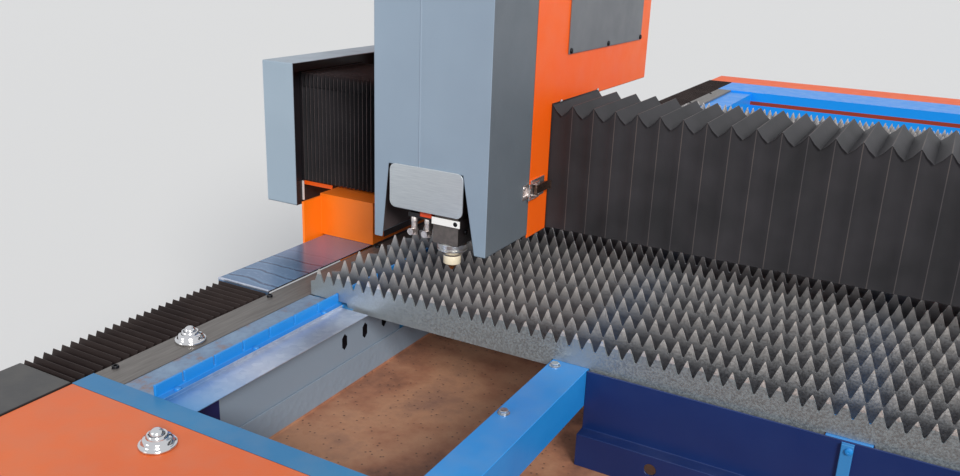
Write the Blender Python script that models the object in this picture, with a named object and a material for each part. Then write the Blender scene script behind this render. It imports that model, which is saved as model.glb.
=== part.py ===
"""Fiber laser cutting machine with an open flat bed.

A moving gantry spans the bed, a carriage rides along the gantry's beam and the cutting head rises in the carriage.
Metres, +Z up, +X to the operator's right, +Y away along the bed.
The origin is the middle of the bed at floor level.
"""

import math

import bmesh
import bpy
from mathutils import Vector

# Clearances between pieces
SEAT = 0.0003
RUNNING = 0.0005
# How far a welded-on shape reaches into the shape that carries it
WELD_SINK = 0.002

# Bed, from the middle outwards and from the front to the rear
BED_LENGTH = 4.66
BED_TOP = 0.85
WELL_WIDTH = 1.326
LEDGE_WIDTH = 0.171
LEDGE_DROP = 0.008
CHANNEL_WIDTH = 0.121
CHANNEL_DEPTH = 0.075
SIDE_BEAM_HEIGHT = 0.25
FRONT_COVER_LENGTH = 0.2955
FRONT_MEMBER_WIDTH = 0.039
REAR_MEMBER_WIDTH = 0.299
REAR_COVER_LENGTH = 0.247
COVER_HEIGHT = 0.36
COVER_SHEET = 0.003
COVER_CHAMFER = 0.012

# Legs, sills, ties and levelling feet under the bed
LEG_PAIRS = 4
LEG_WIDTH = 0.12
LEG_DEPTH = 0.15
SILL_HEIGHT = 0.10
SILL_LIFT = 0.12
SILL_WIDTH = 0.10
TIE_HEIGHT = 0.06
TIE_WIDTH = 0.08
FOOT_HEIGHT = 0.06
FOOT_PAD_RADIUS = 0.06
FOOT_PAD_HEIGHT = 0.02
FOOT_STEM_RADIUS = 0.018

# Slag trays on angle ledges inside the well
TRAY_FLOOR_DROP = 0.1625
TRAY_SHEET = 0.003
TRAY_WALL = 0.06
TRAY_COUNT = 2
TRAY_LEDGE_WIDTH = 0.02
TRAY_LEDGE_HEIGHT = 0.008

# Air ports in the side walls of the well, one per slat
AIR_PORTS = 12
AIR_PORT_SIZE = (0.016, 0.032)
AIR_PORT_CORNER = 0.007
AIR_PORT_DEPTH = 0.030
AIR_PORT_DROP = 0.065
AIR_PORT_LEAD = 0.029

# Square tubes that carry the slats, and the folded partition of the front bay
TUBE_SIZE = 0.065
TUBE_WALL = 0.004
TUBE_OFFSET = 0.2175
PARTITION_SHEET = 0.003
PARTITION_SETBACK = 0.008
PARTITION_STEP = 0.0276
PARTITION_LEDGE_DROP = 0.104
PORT_RADIUS = 0.010
PORT_X = -0.0566
PORT_HEIGHT = 0.034
STRAP_WIDTH = 0.017
STRAP_THICKNESS = 0.006

# Slats, the member behind the last one, their combs and the strips beside them
SLAT_COUNT = 40
SLAT_PITCH = 0.0642
SLAT_FIRST = 0.4405
SLAT_STOP_GAP = 0.010
SLAT_STOP_WIDTH = 0.050
SLAT_THICKNESS = 0.003
SLAT_TEETH = 10
SLAT_TIP = 0.056
SLAT_VALLEY = 0.032
SLAT_OVERHANG = 0.062
COMB_SETBACK = 0.039
COMB_SHEET = 0.005
COMB_FOOT = 0.019
COMB_RISE = 0.017
COMB_CUT_DEPTH = 0.0165
COMB_CUT_WIDTH = 0.0035
DEFLECTOR_WIDTH = 0.0615
DEFLECTOR_SHEET = 0.002
STRIP_WIDTH = 0.065
STRIP_GAP = 0.002
STRIP_SLOTS = 11
STRIP_SLOT_SIZE = (0.012, 0.014)
STRIP_SLOT_INSET = 0.0105
STRIP_SLOT_CORNER = 0.005
STRIP_SLOT_PITCH = 0.3555
STRIP_SLOT_FIRST = 0.0305

# Ball transfer units
BALL_RADIUS = 0.010
CUP_RADIUS = 0.026
CUP_HEIGHT = 0.018
CUP_FLOOR = 0.006
STRIP_BALL = (-0.7995, -1.83)
COVER_BALL = (-0.59, -2.087)

# Long axis: rails, racks and bellows in the bed's two channels
RAIL_WIDTH = 0.023
RAIL_HEIGHT = 0.022
RAIL_NECK = 0.016
RAIL_INSET = 0.0475
RAIL_END_GAP = 0.010
RACK_SIZE = 0.018
PINION_RADIUS = 0.0145
PINION_TEETH = 15
PINION_WIDTH = 0.0165
PINION_SHAFT_RADIUS = 0.006
PINION_LIFT = 0.0025
PINION_BORE_GAP = 0.004
Y_BELLOWS_PLEATS_FRONT = 26
Y_BELLOWS_PLEATS_REAR = 52
Y_BELLOWS_BASE = 0.045
Y_BELLOWS_VALLEY = 0.022
Y_BELLOWS_PEAK = 0.002

# Gantry: saddles, beam and end hoods
GANTRY_STAND = 1.072
SADDLE_LENGTH = 0.408
SADDLE_HEIGHT = 0.101
SADDLE_OVERHANG = 0.025
SADDLE_REAR_FLANGE = 0.006
CHEEK_SHEET = 0.006
CHEEK_OVERHANG = 0.06
CHEEK_TOP = 0.094
CHEEK_BOTTOM = -0.05
BLOCK_WIDTH = 0.048
BLOCK_LENGTH = 0.09
BLOCK_FOOT = 0.0065
BLOCK_END_GAP = 0.008
BLOCK_MOTOR_GAP = 0.06
PAD_INSET = 0.010
APRON_SHEET = 0.003
APRON_LENGTH = 0.339
APRON_TUCK = 0.006
APRON_FLANGE = 0.043
APRON_OVERHANG = 0.013
BEAM_SETBACK = 0.105
BEAM_DEPTH = 0.152
BEAM_LIFT = 0.1235
BEAM_HEIGHT = 0.1865
BEAM_WALL = 0.008
BEAM_FLANGE_SHEET = 0.008
HOOD_OFFSET = 0.0395
HOOD_WIDTH = 0.0845
HOOD_SHEET = 0.002
HOOD_FRONT_OVERHANG = 0.065
HOOD_DEPTH = 0.455
HOOD_BOTTOM = 0.0845
HOOD_TOP = 0.401
MOTOR_SIZE = 0.08
MOTOR_LENGTH = 0.22
MOTOR_FLANGE = 0.012
MOTOR_BODY_INSET = 0.004
MOTOR_SETBACK = 0.060

# Cross axis: rails and rack on the beam, and the bellows round it
X_RAIL_END_GAP = 0.010
X_RAIL_LOW = 0.023
X_RAIL_HIGH = 0.163
X_RACK_SETBACK = 0.043
X_BELLOWS_FOLDS = 34
X_BELLOWS_DEPTH = 0.023
X_BELLOWS_SHEET = 0.002
X_BELLOWS_FRONT_GAP = 0.053
X_BELLOWS_REAR_GAP = 0.036
X_BELLOWS_BOTTOM_GAP = 0.0165
X_BELLOWS_TOP_GAP = 0.054

# Carriage: casting, housing, grey head cover
CARRIAGE_X = -0.558
CARRIAGE_WIDTH = 0.2451
HOUSING_SHEET = 0.003
HOUSING_TOP = 1.75
HOUSING_LEAD = 0.032
HOUSING_LEG_DEPTH = 0.105
HOUSING_DEPTH = 0.643
HOUSING_LEG_BOTTOM = 0.954
HOUSING_BOTTOM = 1.205
CASTING_PLATE = 0.016
CASTING_TOP = 0.018
CASTING_TOP_DEPTH = 0.185
CASTING_BOTTOM = 0.975
X_BLOCK_LENGTH = 0.07
X_BLOCK_END_GAP = 0.005
X_PINION_LIFT = 0.0018
HEAD_COVER_DEPTH = 0.1725
HEAD_COVER_BOTTOM = 0.9625
HEAD_COVER_SHEET = 0.002
NOTCH_TOP = 1.110
NOTCH_BOTTOM = (-0.1044, 0.0988)
NOTCH_TOP_EDGE = (-0.090, 0.071)
SHIELD_WIDTH = 0.1592
SHIELD_HEIGHT = 0.085
SHIELD_OFFSET = -0.0059
SHIELD_BOTTOM = 1.028
SHIELD_SHEET = 0.003
SHIELD_CORNER = 0.013
PANEL_INSET = 0.147
PANEL_LENGTH = 0.431
PANEL_BOTTOM = 1.303
PANEL_TOP = 1.70
PANEL_SHEET = 0.003

# Toggle latch that holds the head cover to the housing
LATCH_Z = 1.053
LATCH_SETBACK = 0.014
LATCH_BASE_LEAD = 0.010
LATCH_PIVOT_REACH = 0.0083
LATCH_BASE_SHEET = 0.002
LATCH_BASE_LENGTH = 0.060
LATCH_BASE_HEIGHT = 0.038
EAR_SPAN = 0.020
EAR_THICKNESS = 0.003
EAR_LENGTH = 0.010
EAR_REACH = 0.004
LEVER_LENGTH = 0.054
LEVER_WIDTH = 0.017
LEVER_THICKNESS = 0.004
LEVER_BARREL_RADIUS = 0.0035
LEVER_LIP = 0.012
BAIL_WIRE = 0.002
BAIL_PIVOT = 0.012
BAIL_SPAN = 0.031
BAIL_REACH = 0.042
KEEPER_THICKNESS = 0.003
KEEPER_WIDTH = 0.016

# Head slide and cutting head
HEAD_OFFSET = 0.035
HEAD_SETBACK = 0.0315
Z_PLATE_WIDTH = 0.104
Z_PLATE_THICKNESS = 0.020
Z_RAIL_SPACING = 0.070
Z_RAIL_WIDTH = 0.012
Z_RAIL_HEIGHT = 0.012
Z_RAIL_BOTTOM = 1.07
Z_PLATE_BOTTOM = 1.005
Z_PLATE_TOP = 1.5703
Z_SHELF = 0.015
Z_SHELF_REACH = 0.045
Z_BEARING_TOP = 1.060
Z_MOTOR_SIZE = 0.060
Z_MOTOR_LENGTH = 0.13
Z_SCREW_RADIUS = 0.008
Z_SCREW_REACH = 0.0125
Z_BEARING_HALF = 0.018
Z_SLIDE_BOTTOM = 1.12
Z_SLIDE_LENGTH = 0.24
Z_SLIDE_THICKNESS = 0.012
Z_SLIDE_GAP = 0.005
ARM_WIDTH = 0.06
ARM_HEIGHT = 0.16
HEAD_BOX = 0.055
HEAD_BOX_BOTTOM = 0.9715
HEAD_BOX_HEIGHT = 0.0365
HEAD_COLLAR_WIDTH = 0.059
HEAD_COLLAR_HEIGHT = 0.0135
HEAD_BODY = 0.050
HEAD_BODY_TOP = 1.32
HEAD_BARREL_RADIUS = 0.022
HEAD_BARREL_TOP = 1.45
NOZZLE_TIP = 0.915

# Places worked out from the sizes above
WELL_X = WELL_WIDTH / 2
LEDGE_X = WELL_X + LEDGE_WIDTH
SIDE_X = LEDGE_X + CHANNEL_WIDTH
COMB_X = WELL_X + COMB_SETBACK
SLAT_HALF_LENGTH = COMB_X + SLAT_OVERHANG
RAIL_X = SIDE_X - RAIL_INSET
SADDLE_OUTER = SIDE_X + SADDLE_OVERHANG
APRON_OUTER = SIDE_X + APRON_OVERHANG
HOOD_INNER = SIDE_X + HOOD_OFFSET
HOOD_OUTER = HOOD_INNER + HOOD_WIDTH
BEAM_HALF = HOOD_OUTER - HOOD_SHEET - SEAT
BEAM_FLANGE_X = BEAM_HALF - BEAM_FLANGE_SHEET
X_RAIL_HALF_LENGTH = BEAM_FLANGE_X - X_RAIL_END_GAP
LEDGE_Z = BED_TOP - LEDGE_DROP
CHANNEL_Z = BED_TOP - CHANNEL_DEPTH
BEAM_BOTTOM_Z = BED_TOP - SIDE_BEAM_HEIGHT
FRONT_Y = -BED_LENGTH / 2
REAR_Y = BED_LENGTH / 2
FRAME_FRONT = FRONT_Y + FRONT_COVER_LENGTH
WELL_FRONT = FRAME_FRONT + FRONT_MEMBER_WIDTH
FRAME_REAR = REAR_Y - REAR_COVER_LENGTH
WELL_REAR = FRAME_REAR - REAR_MEMBER_WIDTH
TRAY_FLOOR_Z = BED_TOP - TRAY_FLOOR_DROP
TRAY_BOTTOM_Z = TRAY_FLOOR_Z - TRAY_SHEET
FIRST_SLAT_Y = WELL_FRONT + SLAT_FIRST
LAST_SLAT_Y = FIRST_SLAT_Y + SLAT_PITCH * (SLAT_COUNT - 1)
SLAT_STOP_Y = LAST_SLAT_Y + SLAT_STOP_GAP
PARTITION_Y = FIRST_SLAT_Y - PARTITION_SETBACK
RACK_X = LEDGE_X + SEAT
PINION_X = RACK_X + RACK_SIZE + RUNNING + PINION_RADIUS
SADDLE_FRONT = FRONT_Y + GANTRY_STAND
SADDLE_REAR = SADDLE_FRONT + SADDLE_LENGTH
HOOD_FRONT = SADDLE_FRONT - HOOD_FRONT_OVERHANG
HOOD_REAR = HOOD_FRONT + HOOD_DEPTH
SADDLE_TOP = BED_TOP + SADDLE_HEIGHT
SADDLE_BOTTOM = BED_TOP + APRON_SHEET + 2 * SEAT
APRON_FRONT = SADDLE_FRONT - APRON_LENGTH
BEAM_FRONT = SADDLE_FRONT + BEAM_SETBACK
BEAM_REAR = BEAM_FRONT + BEAM_DEPTH
BEAM_LOW = BED_TOP + BEAM_LIFT
BEAM_HIGH = BEAM_LOW + BEAM_HEIGHT
Y_MOTOR_Y = SADDLE_REAR - MOTOR_SETBACK
X_BELLOWS_FRONT = BEAM_FRONT - X_BELLOWS_FRONT_GAP
X_BELLOWS_REAR = BEAM_REAR + X_BELLOWS_REAR_GAP
X_BELLOWS_LOW = BEAM_LOW - X_BELLOWS_BOTTOM_GAP
X_BELLOWS_HIGH = BEAM_HIGH + X_BELLOWS_TOP_GAP
CARRIAGE_LEFT = CARRIAGE_X - CARRIAGE_WIDTH / 2
CARRIAGE_RIGHT = CARRIAGE_X + CARRIAGE_WIDTH / 2
CASTING_HALF = CARRIAGE_WIDTH / 2 - HOUSING_SHEET - SEAT
HOUSING_FRONT = SADDLE_FRONT - HOUSING_LEAD
HOUSING_LEG_REAR = HOUSING_FRONT + HOUSING_LEG_DEPTH
HOUSING_REAR = HOUSING_FRONT + HOUSING_DEPTH
COVER_FRONT = HOUSING_FRONT - HEAD_COVER_DEPTH
HEAD_X = CARRIAGE_X + HEAD_OFFSET
HEAD_Y = COVER_FRONT + HEAD_SETBACK
X_RAIL_FACE = BEAM_FRONT - SEAT - RAIL_HEIGHT
CASTING_BACK = X_RAIL_FACE - 0.014
CASTING_FACE = CASTING_BACK - CASTING_PLATE
X_RACK_FRONT = BEAM_FRONT + X_RACK_SETBACK
X_PINION_Y = X_RACK_FRONT + RACK_SIZE + RUNNING + PINION_RADIUS
Z_PLATE_FACE = CASTING_FACE - Z_PLATE_THICKNESS
Z_SLIDE_REAR = Z_PLATE_FACE - Z_SLIDE_GAP
Z_RAIL_FACE = Z_PLATE_FACE - Z_RAIL_HEIGHT
Z_SCREW_Y = Z_PLATE_FACE - Z_SCREW_REACH
LATCH_PIVOT_X = CARRIAGE_RIGHT + LATCH_PIVOT_REACH
LATCH_PIVOT_Y = HOUSING_FRONT + LATCH_SETBACK


def clear_scene():
    for obj in list(bpy.data.objects):
        bpy.data.objects.remove(obj, do_unlink=True)


def linear(value):
    return value / 12.92 if value <= 0.04045 else ((value + 0.055) / 1.055) ** 2.4


def finish(name, red, green, blue, roughness, metallic=0.0):
    """A Principled material from an sRGB colour of 0 to 255."""
    material = bpy.data.materials.new(name)
    material.use_nodes = True
    shader = material.node_tree.nodes["Principled BSDF"]
    shader.inputs["Base Color"].default_value = [linear(c / 255) for c in (red, green, blue)] + [1.0]
    shader.inputs["Roughness"].default_value = roughness
    shader.inputs["Metallic"].default_value = metallic
    return material


def block(bm, low, high):
    """A box between two corners."""
    corners = [
        bm.verts.new((x, y, z))
        for z in (low[2], high[2])
        for x, y in ((low[0], low[1]), (high[0], low[1]), (high[0], high[1]), (low[0], high[1]))
    ]
    for face in ((3, 2, 1, 0), (4, 5, 6, 7), (0, 1, 5, 4), (1, 2, 6, 5), (2, 3, 7, 6), (3, 0, 4, 7)):
        bm.faces.new([corners[i] for i in face])


def on_axis(axis, along, point):
    """A 3-D point from a distance along an axis and the other two coordinates in X, Y, Z order."""
    u, v = point
    return {"X": (along, u, v), "Y": (u, along, v), "Z": (u, v, along)}[axis]


def prism(bm, outline, axis, start, end):
    """An outline extruded along an axis."""
    rings = [[bm.verts.new(on_axis(axis, along, point)) for point in outline] for along in (start, end)]
    bm.faces.new(rings[0])
    bm.faces.new(rings[1])
    for i in range(len(outline)):
        j = (i + 1) % len(outline)
        bm.faces.new((rings[0][i], rings[0][j], rings[1][j], rings[1][i]))


def hollow_bar(bm, axis, start, end, low, high, wall):
    """A rectangular tube with open ends."""
    outer = [(low[0], low[1]), (high[0], low[1]), (high[0], high[1]), (low[0], high[1])]
    inner = [
        (low[0] + wall, low[1] + wall),
        (high[0] - wall, low[1] + wall),
        (high[0] - wall, high[1] - wall),
        (low[0] + wall, high[1] - wall),
    ]
    rings = [
        [bm.verts.new(on_axis(axis, along, point)) for point in outline]
        for along in (start, end)
        for outline in (outer, inner)
    ]
    for i in range(4):
        j = (i + 1) % 4
        bm.faces.new((rings[0][i], rings[0][j], rings[2][j], rings[2][i]))
        bm.faces.new((rings[1][i], rings[1][j], rings[3][j], rings[3][i]))
        bm.faces.new((rings[0][i], rings[0][j], rings[1][j], rings[1][i]))
        bm.faces.new((rings[2][i], rings[2][j], rings[3][j], rings[3][i]))


def open_tray(bm, low, high, sheet):
    """A flat-bottomed pan with four walls and an open top."""
    inside_low = (low[0] + sheet, low[1] + sheet, low[2] + sheet)
    inside_high = (high[0] - sheet, high[1] - sheet)
    rings = []
    for (x0, y0), (x1, y1), z in (
        (low[:2], high[:2], low[2]),
        (low[:2], high[:2], high[2]),
        (inside_low[:2], inside_high, high[2]),
        (inside_low[:2], inside_high, inside_low[2]),
    ):
        rings.append([bm.verts.new((x, y, z)) for x, y in ((x0, y0), (x1, y0), (x1, y1), (x0, y1))])
    for first, second in zip(rings, rings[1:]):
        for i in range(4):
            j = (i + 1) % 4
            bm.faces.new((first[i], first[j], second[j], second[i]))
    bm.faces.new(rings[0])
    bm.faces.new(rings[-1])


def turned(bm, profile, centre, sides):
    """A profile of (radius, height) pairs turned about the vertical through centre."""
    rings = []
    for radius, height in profile:
        if radius == 0:
            rings.append([bm.verts.new((centre[0], centre[1], height))])
            continue
        angles = [2 * math.pi * k / sides for k in range(sides)]
        rings.append(
            [
                bm.verts.new((centre[0] + radius * math.cos(a), centre[1] + radius * math.sin(a), height))
                for a in angles
            ]
        )
    for first, second in zip(rings, rings[1:]):
        for k in range(sides):
            corners = [first[k % len(first)], first[(k + 1) % len(first)]]
            corners += [second[(k + 1) % len(second)], second[k % len(second)]]
            bm.faces.new(list(dict.fromkeys(corners)))
    for ring in (rings[0], rings[-1]):
        if len(ring) > 1:
            bm.faces.new(ring)


def rounded_rectangle(low, high, radius, steps):
    """The outline of a rectangle whose corners are arcs."""
    centres = (
        (high[0] - radius, high[1] - radius, 0),
        (low[0] + radius, high[1] - radius, 90),
        (low[0] + radius, low[1] + radius, 180),
        (high[0] - radius, low[1] + radius, 270),
    )
    return [
        (
            u + radius * math.cos(math.radians(start + 90 * k / steps)),
            v + radius * math.sin(math.radians(start + 90 * k / steps)),
        )
        for u, v, start in centres
        for k in range(steps + 1)
    ]


def new_object(name, bm):
    mesh = bpy.data.meshes.new(name)
    bm.to_mesh(mesh)
    bm.free()
    obj = bpy.data.objects.new(name, mesh)
    bpy.context.scene.collection.objects.link(obj)
    return obj


def carrier(name, place, parent=None):
    """An empty that carries the pieces of one moving group."""
    empty = bpy.data.objects.new(name, None)
    bpy.context.scene.collection.objects.link(empty)
    empty.location = Vector(place) - (parent["place"] if parent else Vector())
    empty.parent = parent["empty"] if parent else None
    return {"empty": empty, "place": Vector(place)}


def piece(name, bm, material, group=None, pivot=None, smooth=False):
    """A solid drawn in the machine's frame, with its origin on its pivot or on its group's carrier."""
    base = group["place"] if group else Vector()
    place = Vector(pivot) if pivot else base
    bmesh.ops.recalc_face_normals(bm, faces=bm.faces)
    bmesh.ops.translate(bm, verts=bm.verts, vec=-place)
    obj = new_object(name, bm)
    obj.location = place - base
    obj.parent = group["empty"] if group else None
    obj.data.materials.append(material)
    if smooth:
        obj.data.shade_smooth()
        obj.data.set_sharp_from_angle(angle=math.radians(35))
    return obj


def combine(obj, bm, operation):
    """Welds on, or cuts away, what bm holds."""
    bmesh.ops.recalc_face_normals(bm, faces=bm.faces)
    helper = new_object(obj.name + "_tool_" + str(len(obj.modifiers)), bm)
    helper.hide_render = True
    helper.display_type = "WIRE"
    modifier = obj.modifiers.new(operation.lower(), "BOOLEAN")
    modifier.operation = operation
    modifier.object = helper


def weld_blocks(obj, corners):
    bm = bmesh.new()
    for low, high in corners:
        block(bm, low, high)
    combine(obj, bm, "UNION")


def folded(name, bm, material, sheet, group=None):
    """An open box of faces turned into sheet metal, with the sheet's thickness inside."""
    obj = piece(name, bm, material, group)
    modifier = obj.modifiers.new("sheet", "SOLIDIFY")
    modifier.thickness = sheet
    modifier.offset = -1.0
    modifier.use_even_offset = True
    return obj


def sided(x_low, x_high, side):
    """An X range on the right side, or its mirror image on the left."""
    return (x_low, x_high) if side > 0 else (-x_high, -x_low)


SIDES = (("left", -1), ("right", 1))


def rail_outline(centre, base, side=1):
    """The section of a profile rail that stands on base: foot, waist and head."""
    half, waist = RAIL_WIDTH / 2, RAIL_NECK / 2
    levels = ((half, 0), (half, 0.40), (waist, 0.50), (waist, 0.62), (half, 0.72), (half, 1))
    right = [(centre + w, base + side * h * RAIL_HEIGHT) for w, h in levels]
    left = [(centre - w, base + side * h * RAIL_HEIGHT) for w, h in reversed(levels)]
    return right + left


def block_outline(centre, base, reach, side=1):
    """The section of a guide block that straddles a rail, from its mounting face at reach."""
    half, groove = BLOCK_WIDTH / 2, RAIL_WIDTH / 2 + RUNNING
    foot, roof = base + side * BLOCK_FOOT, base + side * (RAIL_HEIGHT + RUNNING)
    return [
        (centre - half, foot),
        (centre - groove, foot),
        (centre - groove, roof),
        (centre + groove, roof),
        (centre + groove, foot),
        (centre + half, foot),
        (centre + half, reach),
        (centre - half, reach),
    ]


def build_bed_frame(blue):
    """The welded frame: two side beams with a rail channel, cross members, legs, sills, ties and feet."""
    bm = bmesh.new()
    for _, side in SIDES:
        section = [
            (side * WELL_X, BEAM_BOTTOM_Z),
            (side * WELL_X, LEDGE_Z),
            (side * LEDGE_X, LEDGE_Z),
            (side * LEDGE_X, CHANNEL_Z),
            (side * SIDE_X, CHANNEL_Z),
            (side * SIDE_X, BEAM_BOTTOM_Z),
        ]
        prism(bm, section, "Y", FRAME_FRONT, FRAME_REAR)
    frame = piece("bed_frame", bm, blue)
    weld_blocks(
        frame,
        [
            ((-LEDGE_X, FRAME_FRONT, BEAM_BOTTOM_Z), (LEDGE_X, WELL_FRONT, BED_TOP)),
            ((-LEDGE_X, WELL_REAR, BEAM_BOTTOM_Z), (LEDGE_X, FRAME_REAR, BED_TOP)),
            (
                (-WELL_X - WELD_SINK, SLAT_STOP_Y, BED_TOP - TUBE_SIZE),
                (WELL_X + WELD_SINK, SLAT_STOP_Y + SLAT_STOP_WIDTH, BED_TOP),
            ),
        ],
    )
    ledges, legs, sills = [], [], []
    ledge_top = TRAY_BOTTOM_Z - SEAT
    leg_x = (WELL_X + SIDE_X) / 2
    leg_step = (FRAME_REAR - FRAME_FRONT - LEG_WIDTH) / (LEG_PAIRS - 1)
    leg_places = [FRAME_FRONT + LEG_WIDTH / 2 + leg_step * k for k in range(LEG_PAIRS)]
    for _, side in SIDES:
        inner, outer = sided(WELL_X - TRAY_LEDGE_WIDTH, WELL_X + TRAY_LEDGE_WIDTH, side)
        ledges.append(
            (
                (inner, WELL_FRONT - TRAY_LEDGE_WIDTH, ledge_top - TRAY_LEDGE_HEIGHT),
                (outer, WELL_REAR + TRAY_LEDGE_WIDTH, ledge_top),
            )
        )
        inner, outer = sided(leg_x - LEG_DEPTH / 2, leg_x + LEG_DEPTH / 2, side)
        for y in leg_places:
            legs.append(
                (
                    (inner, y - LEG_WIDTH / 2, FOOT_HEIGHT),
                    (outer, y + LEG_WIDTH / 2, BEAM_BOTTOM_Z + SILL_HEIGHT / 4),
                )
            )
        inner, outer = sided(leg_x - SILL_WIDTH / 2, leg_x + SILL_WIDTH / 2, side)
        sills.append(
            ((inner, leg_places[0], SILL_LIFT), (outer, leg_places[-1], SILL_LIFT + SILL_HEIGHT))
        )
    tie_z = SILL_LIFT + (SILL_HEIGHT - TIE_HEIGHT) / 2
    ties = [
        ((-leg_x, y - TIE_WIDTH / 2, tie_z), (leg_x, y + TIE_WIDTH / 2, tie_z + TIE_HEIGHT))
        for y in leg_places
    ]
    for group in (ledges, legs, sills, ties):
        weld_blocks(frame, group)
    bm = bmesh.new()
    wide, high = AIR_PORT_SIZE[0] / 2, AIR_PORT_SIZE[1] / 2
    port_z = BED_TOP - AIR_PORT_DROP
    for _, side in SIDES:
        start, end = sided(WELL_X - AIR_PORT_DEPTH, WELL_X + AIR_PORT_DEPTH, side)
        for k in range(AIR_PORTS):
            y = FIRST_SLAT_Y - AIR_PORT_LEAD + SLAT_PITCH * k
            port = rounded_rectangle((y - wide, port_z - high), (y + wide, port_z + high), AIR_PORT_CORNER, 1)
            prism(bm, port, "X", start, end)
    combine(frame, bm, "DIFFERENCE")
    bm = bmesh.new()
    foot = [
        (FOOT_PAD_RADIUS, 0),
        (FOOT_PAD_RADIUS, FOOT_PAD_HEIGHT / 2),
        (FOOT_STEM_RADIUS, FOOT_PAD_HEIGHT),
        (FOOT_STEM_RADIUS, FOOT_HEIGHT + FOOT_PAD_HEIGHT),
    ]
    for _, side in SIDES:
        for y in leg_places:
            turned(bm, foot, (side * leg_x, y), 10)
    combine(frame, bm, "UNION")


def build_end_covers(orange, black):
    """Sheet-metal boxes over the bed's two ends, and the end caps of the rail channels."""
    low = BED_TOP - COVER_HEIGHT

    def cover(name, material, x_low, x_high, outer_y, inner_y, top):
        bm = bmesh.new()
        chamfer = COVER_CHAMFER if outer_y < inner_y else -COVER_CHAMFER
        front = [
            bm.verts.new(p)
            for p in (
                (x_low, outer_y, low),
                (x_high, outer_y, low),
                (x_high, outer_y, top - abs(chamfer)),
                (x_low, outer_y, top - abs(chamfer)),
            )
        ]
        edge = [bm.verts.new((x, outer_y + chamfer, top)) for x in (x_high, x_low)]
        back = [bm.verts.new((x, inner_y, z)) for x, z in ((x_high, top), (x_low, top), (x_low, low), (x_high, low))]
        bm.faces.new(front)
        bm.faces.new((front[3], front[2], edge[0], edge[1]))
        bm.faces.new((edge[1], edge[0], back[0], back[1]))
        bm.faces.new((front[0], front[3], edge[1], back[1], back[2]))
        bm.faces.new((front[1], back[3], back[0], edge[0], front[2]))
        folded(name, bm, material, COVER_SHEET)

    cover("front_end_cover", orange, -LEDGE_X, LEDGE_X, FRONT_Y, FRAME_FRONT - SEAT, BED_TOP)
    cover("rear_end_cover", orange, -SIDE_X, SIDE_X, REAR_Y, FRAME_REAR + SEAT, BED_TOP)
    for word, side in SIDES:
        x_low, x_high = sided(LEDGE_X + SEAT, SIDE_X, side)
        cover("rail_end_cap_" + word, black, x_low, x_high, FRONT_Y, FRAME_FRONT - SEAT, BED_TOP + Y_BELLOWS_PEAK)


def build_well(blue, navy, rusty):
    """The slag trays, the two slat tubes and the folded partition of the front bay."""
    tray_length = (WELL_REAR - WELL_FRONT) / TRAY_COUNT
    tray_x = WELL_X - SEAT
    for k in range(TRAY_COUNT):
        low = (-tray_x, WELL_FRONT + tray_length * k + SEAT, TRAY_BOTTOM_Z)
        high = (tray_x, WELL_FRONT + tray_length * (k + 1) - SEAT, TRAY_BOTTOM_Z + TRAY_WALL)
        bm = bmesh.new()
        open_tray(bm, low, high, TRAY_SHEET)
        piece("slag_tray_" + ("front", "rear")[k], bm, rusty)
    tube_low = BED_TOP - TUBE_SIZE
    for word, x, start in (
        ("left", -TUBE_OFFSET, WELL_FRONT + SEAT),
        ("right", TUBE_OFFSET, PARTITION_Y + SEAT),
    ):
        bm = bmesh.new()
        half = TUBE_SIZE / 2
        hollow_bar(bm, "Y", start, SLAT_STOP_Y - SEAT, (x - half, tube_low), (x + half, BED_TOP), TUBE_WALL)
        piece("centre_tube_" + word, bm, blue)
    wall, step, sheet = PARTITION_Y, PARTITION_Y - PARTITION_STEP, PARTITION_SHEET
    ledge, floor = BED_TOP - PARTITION_LEDGE_DROP, TRAY_FLOOR_Z + SEAT
    section = [
        (step, floor),
        (step + sheet, floor),
        (step + sheet, ledge - sheet),
        (wall, ledge - sheet),
        (wall, BED_TOP),
        (wall - sheet, BED_TOP),
        (wall - sheet, ledge),
        (step, ledge),
    ]
    bm = bmesh.new()
    prism(bm, section, "X", -TUBE_OFFSET + TUBE_SIZE / 2 + SEAT, tray_x - TRAY_SHEET - SEAT)
    partition = piece("partition_wall", bm, navy)
    strap_front = wall - sheet - STRAP_THICKNESS
    weld_blocks(
        partition,
        [
            (
                (TUBE_OFFSET - STRAP_WIDTH / 2, strap_front, BED_TOP - PARTITION_LEDGE_DROP - sheet / 2),
                (TUBE_OFFSET + STRAP_WIDTH / 2, wall - sheet / 2, BED_TOP - sheet),
            )
        ],
    )
    bm = bmesh.new()
    port = [
        (PORT_X + PORT_RADIUS * math.cos(a), TRAY_FLOOR_Z + PORT_HEIGHT + PORT_RADIUS * math.sin(a))
        for a in (math.radians(30 * k) for k in range(12))
    ]
    prism(bm, port, "Y", step - sheet, step + 2 * sheet)
    combine(partition, bm, "DIFFERENCE")


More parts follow.
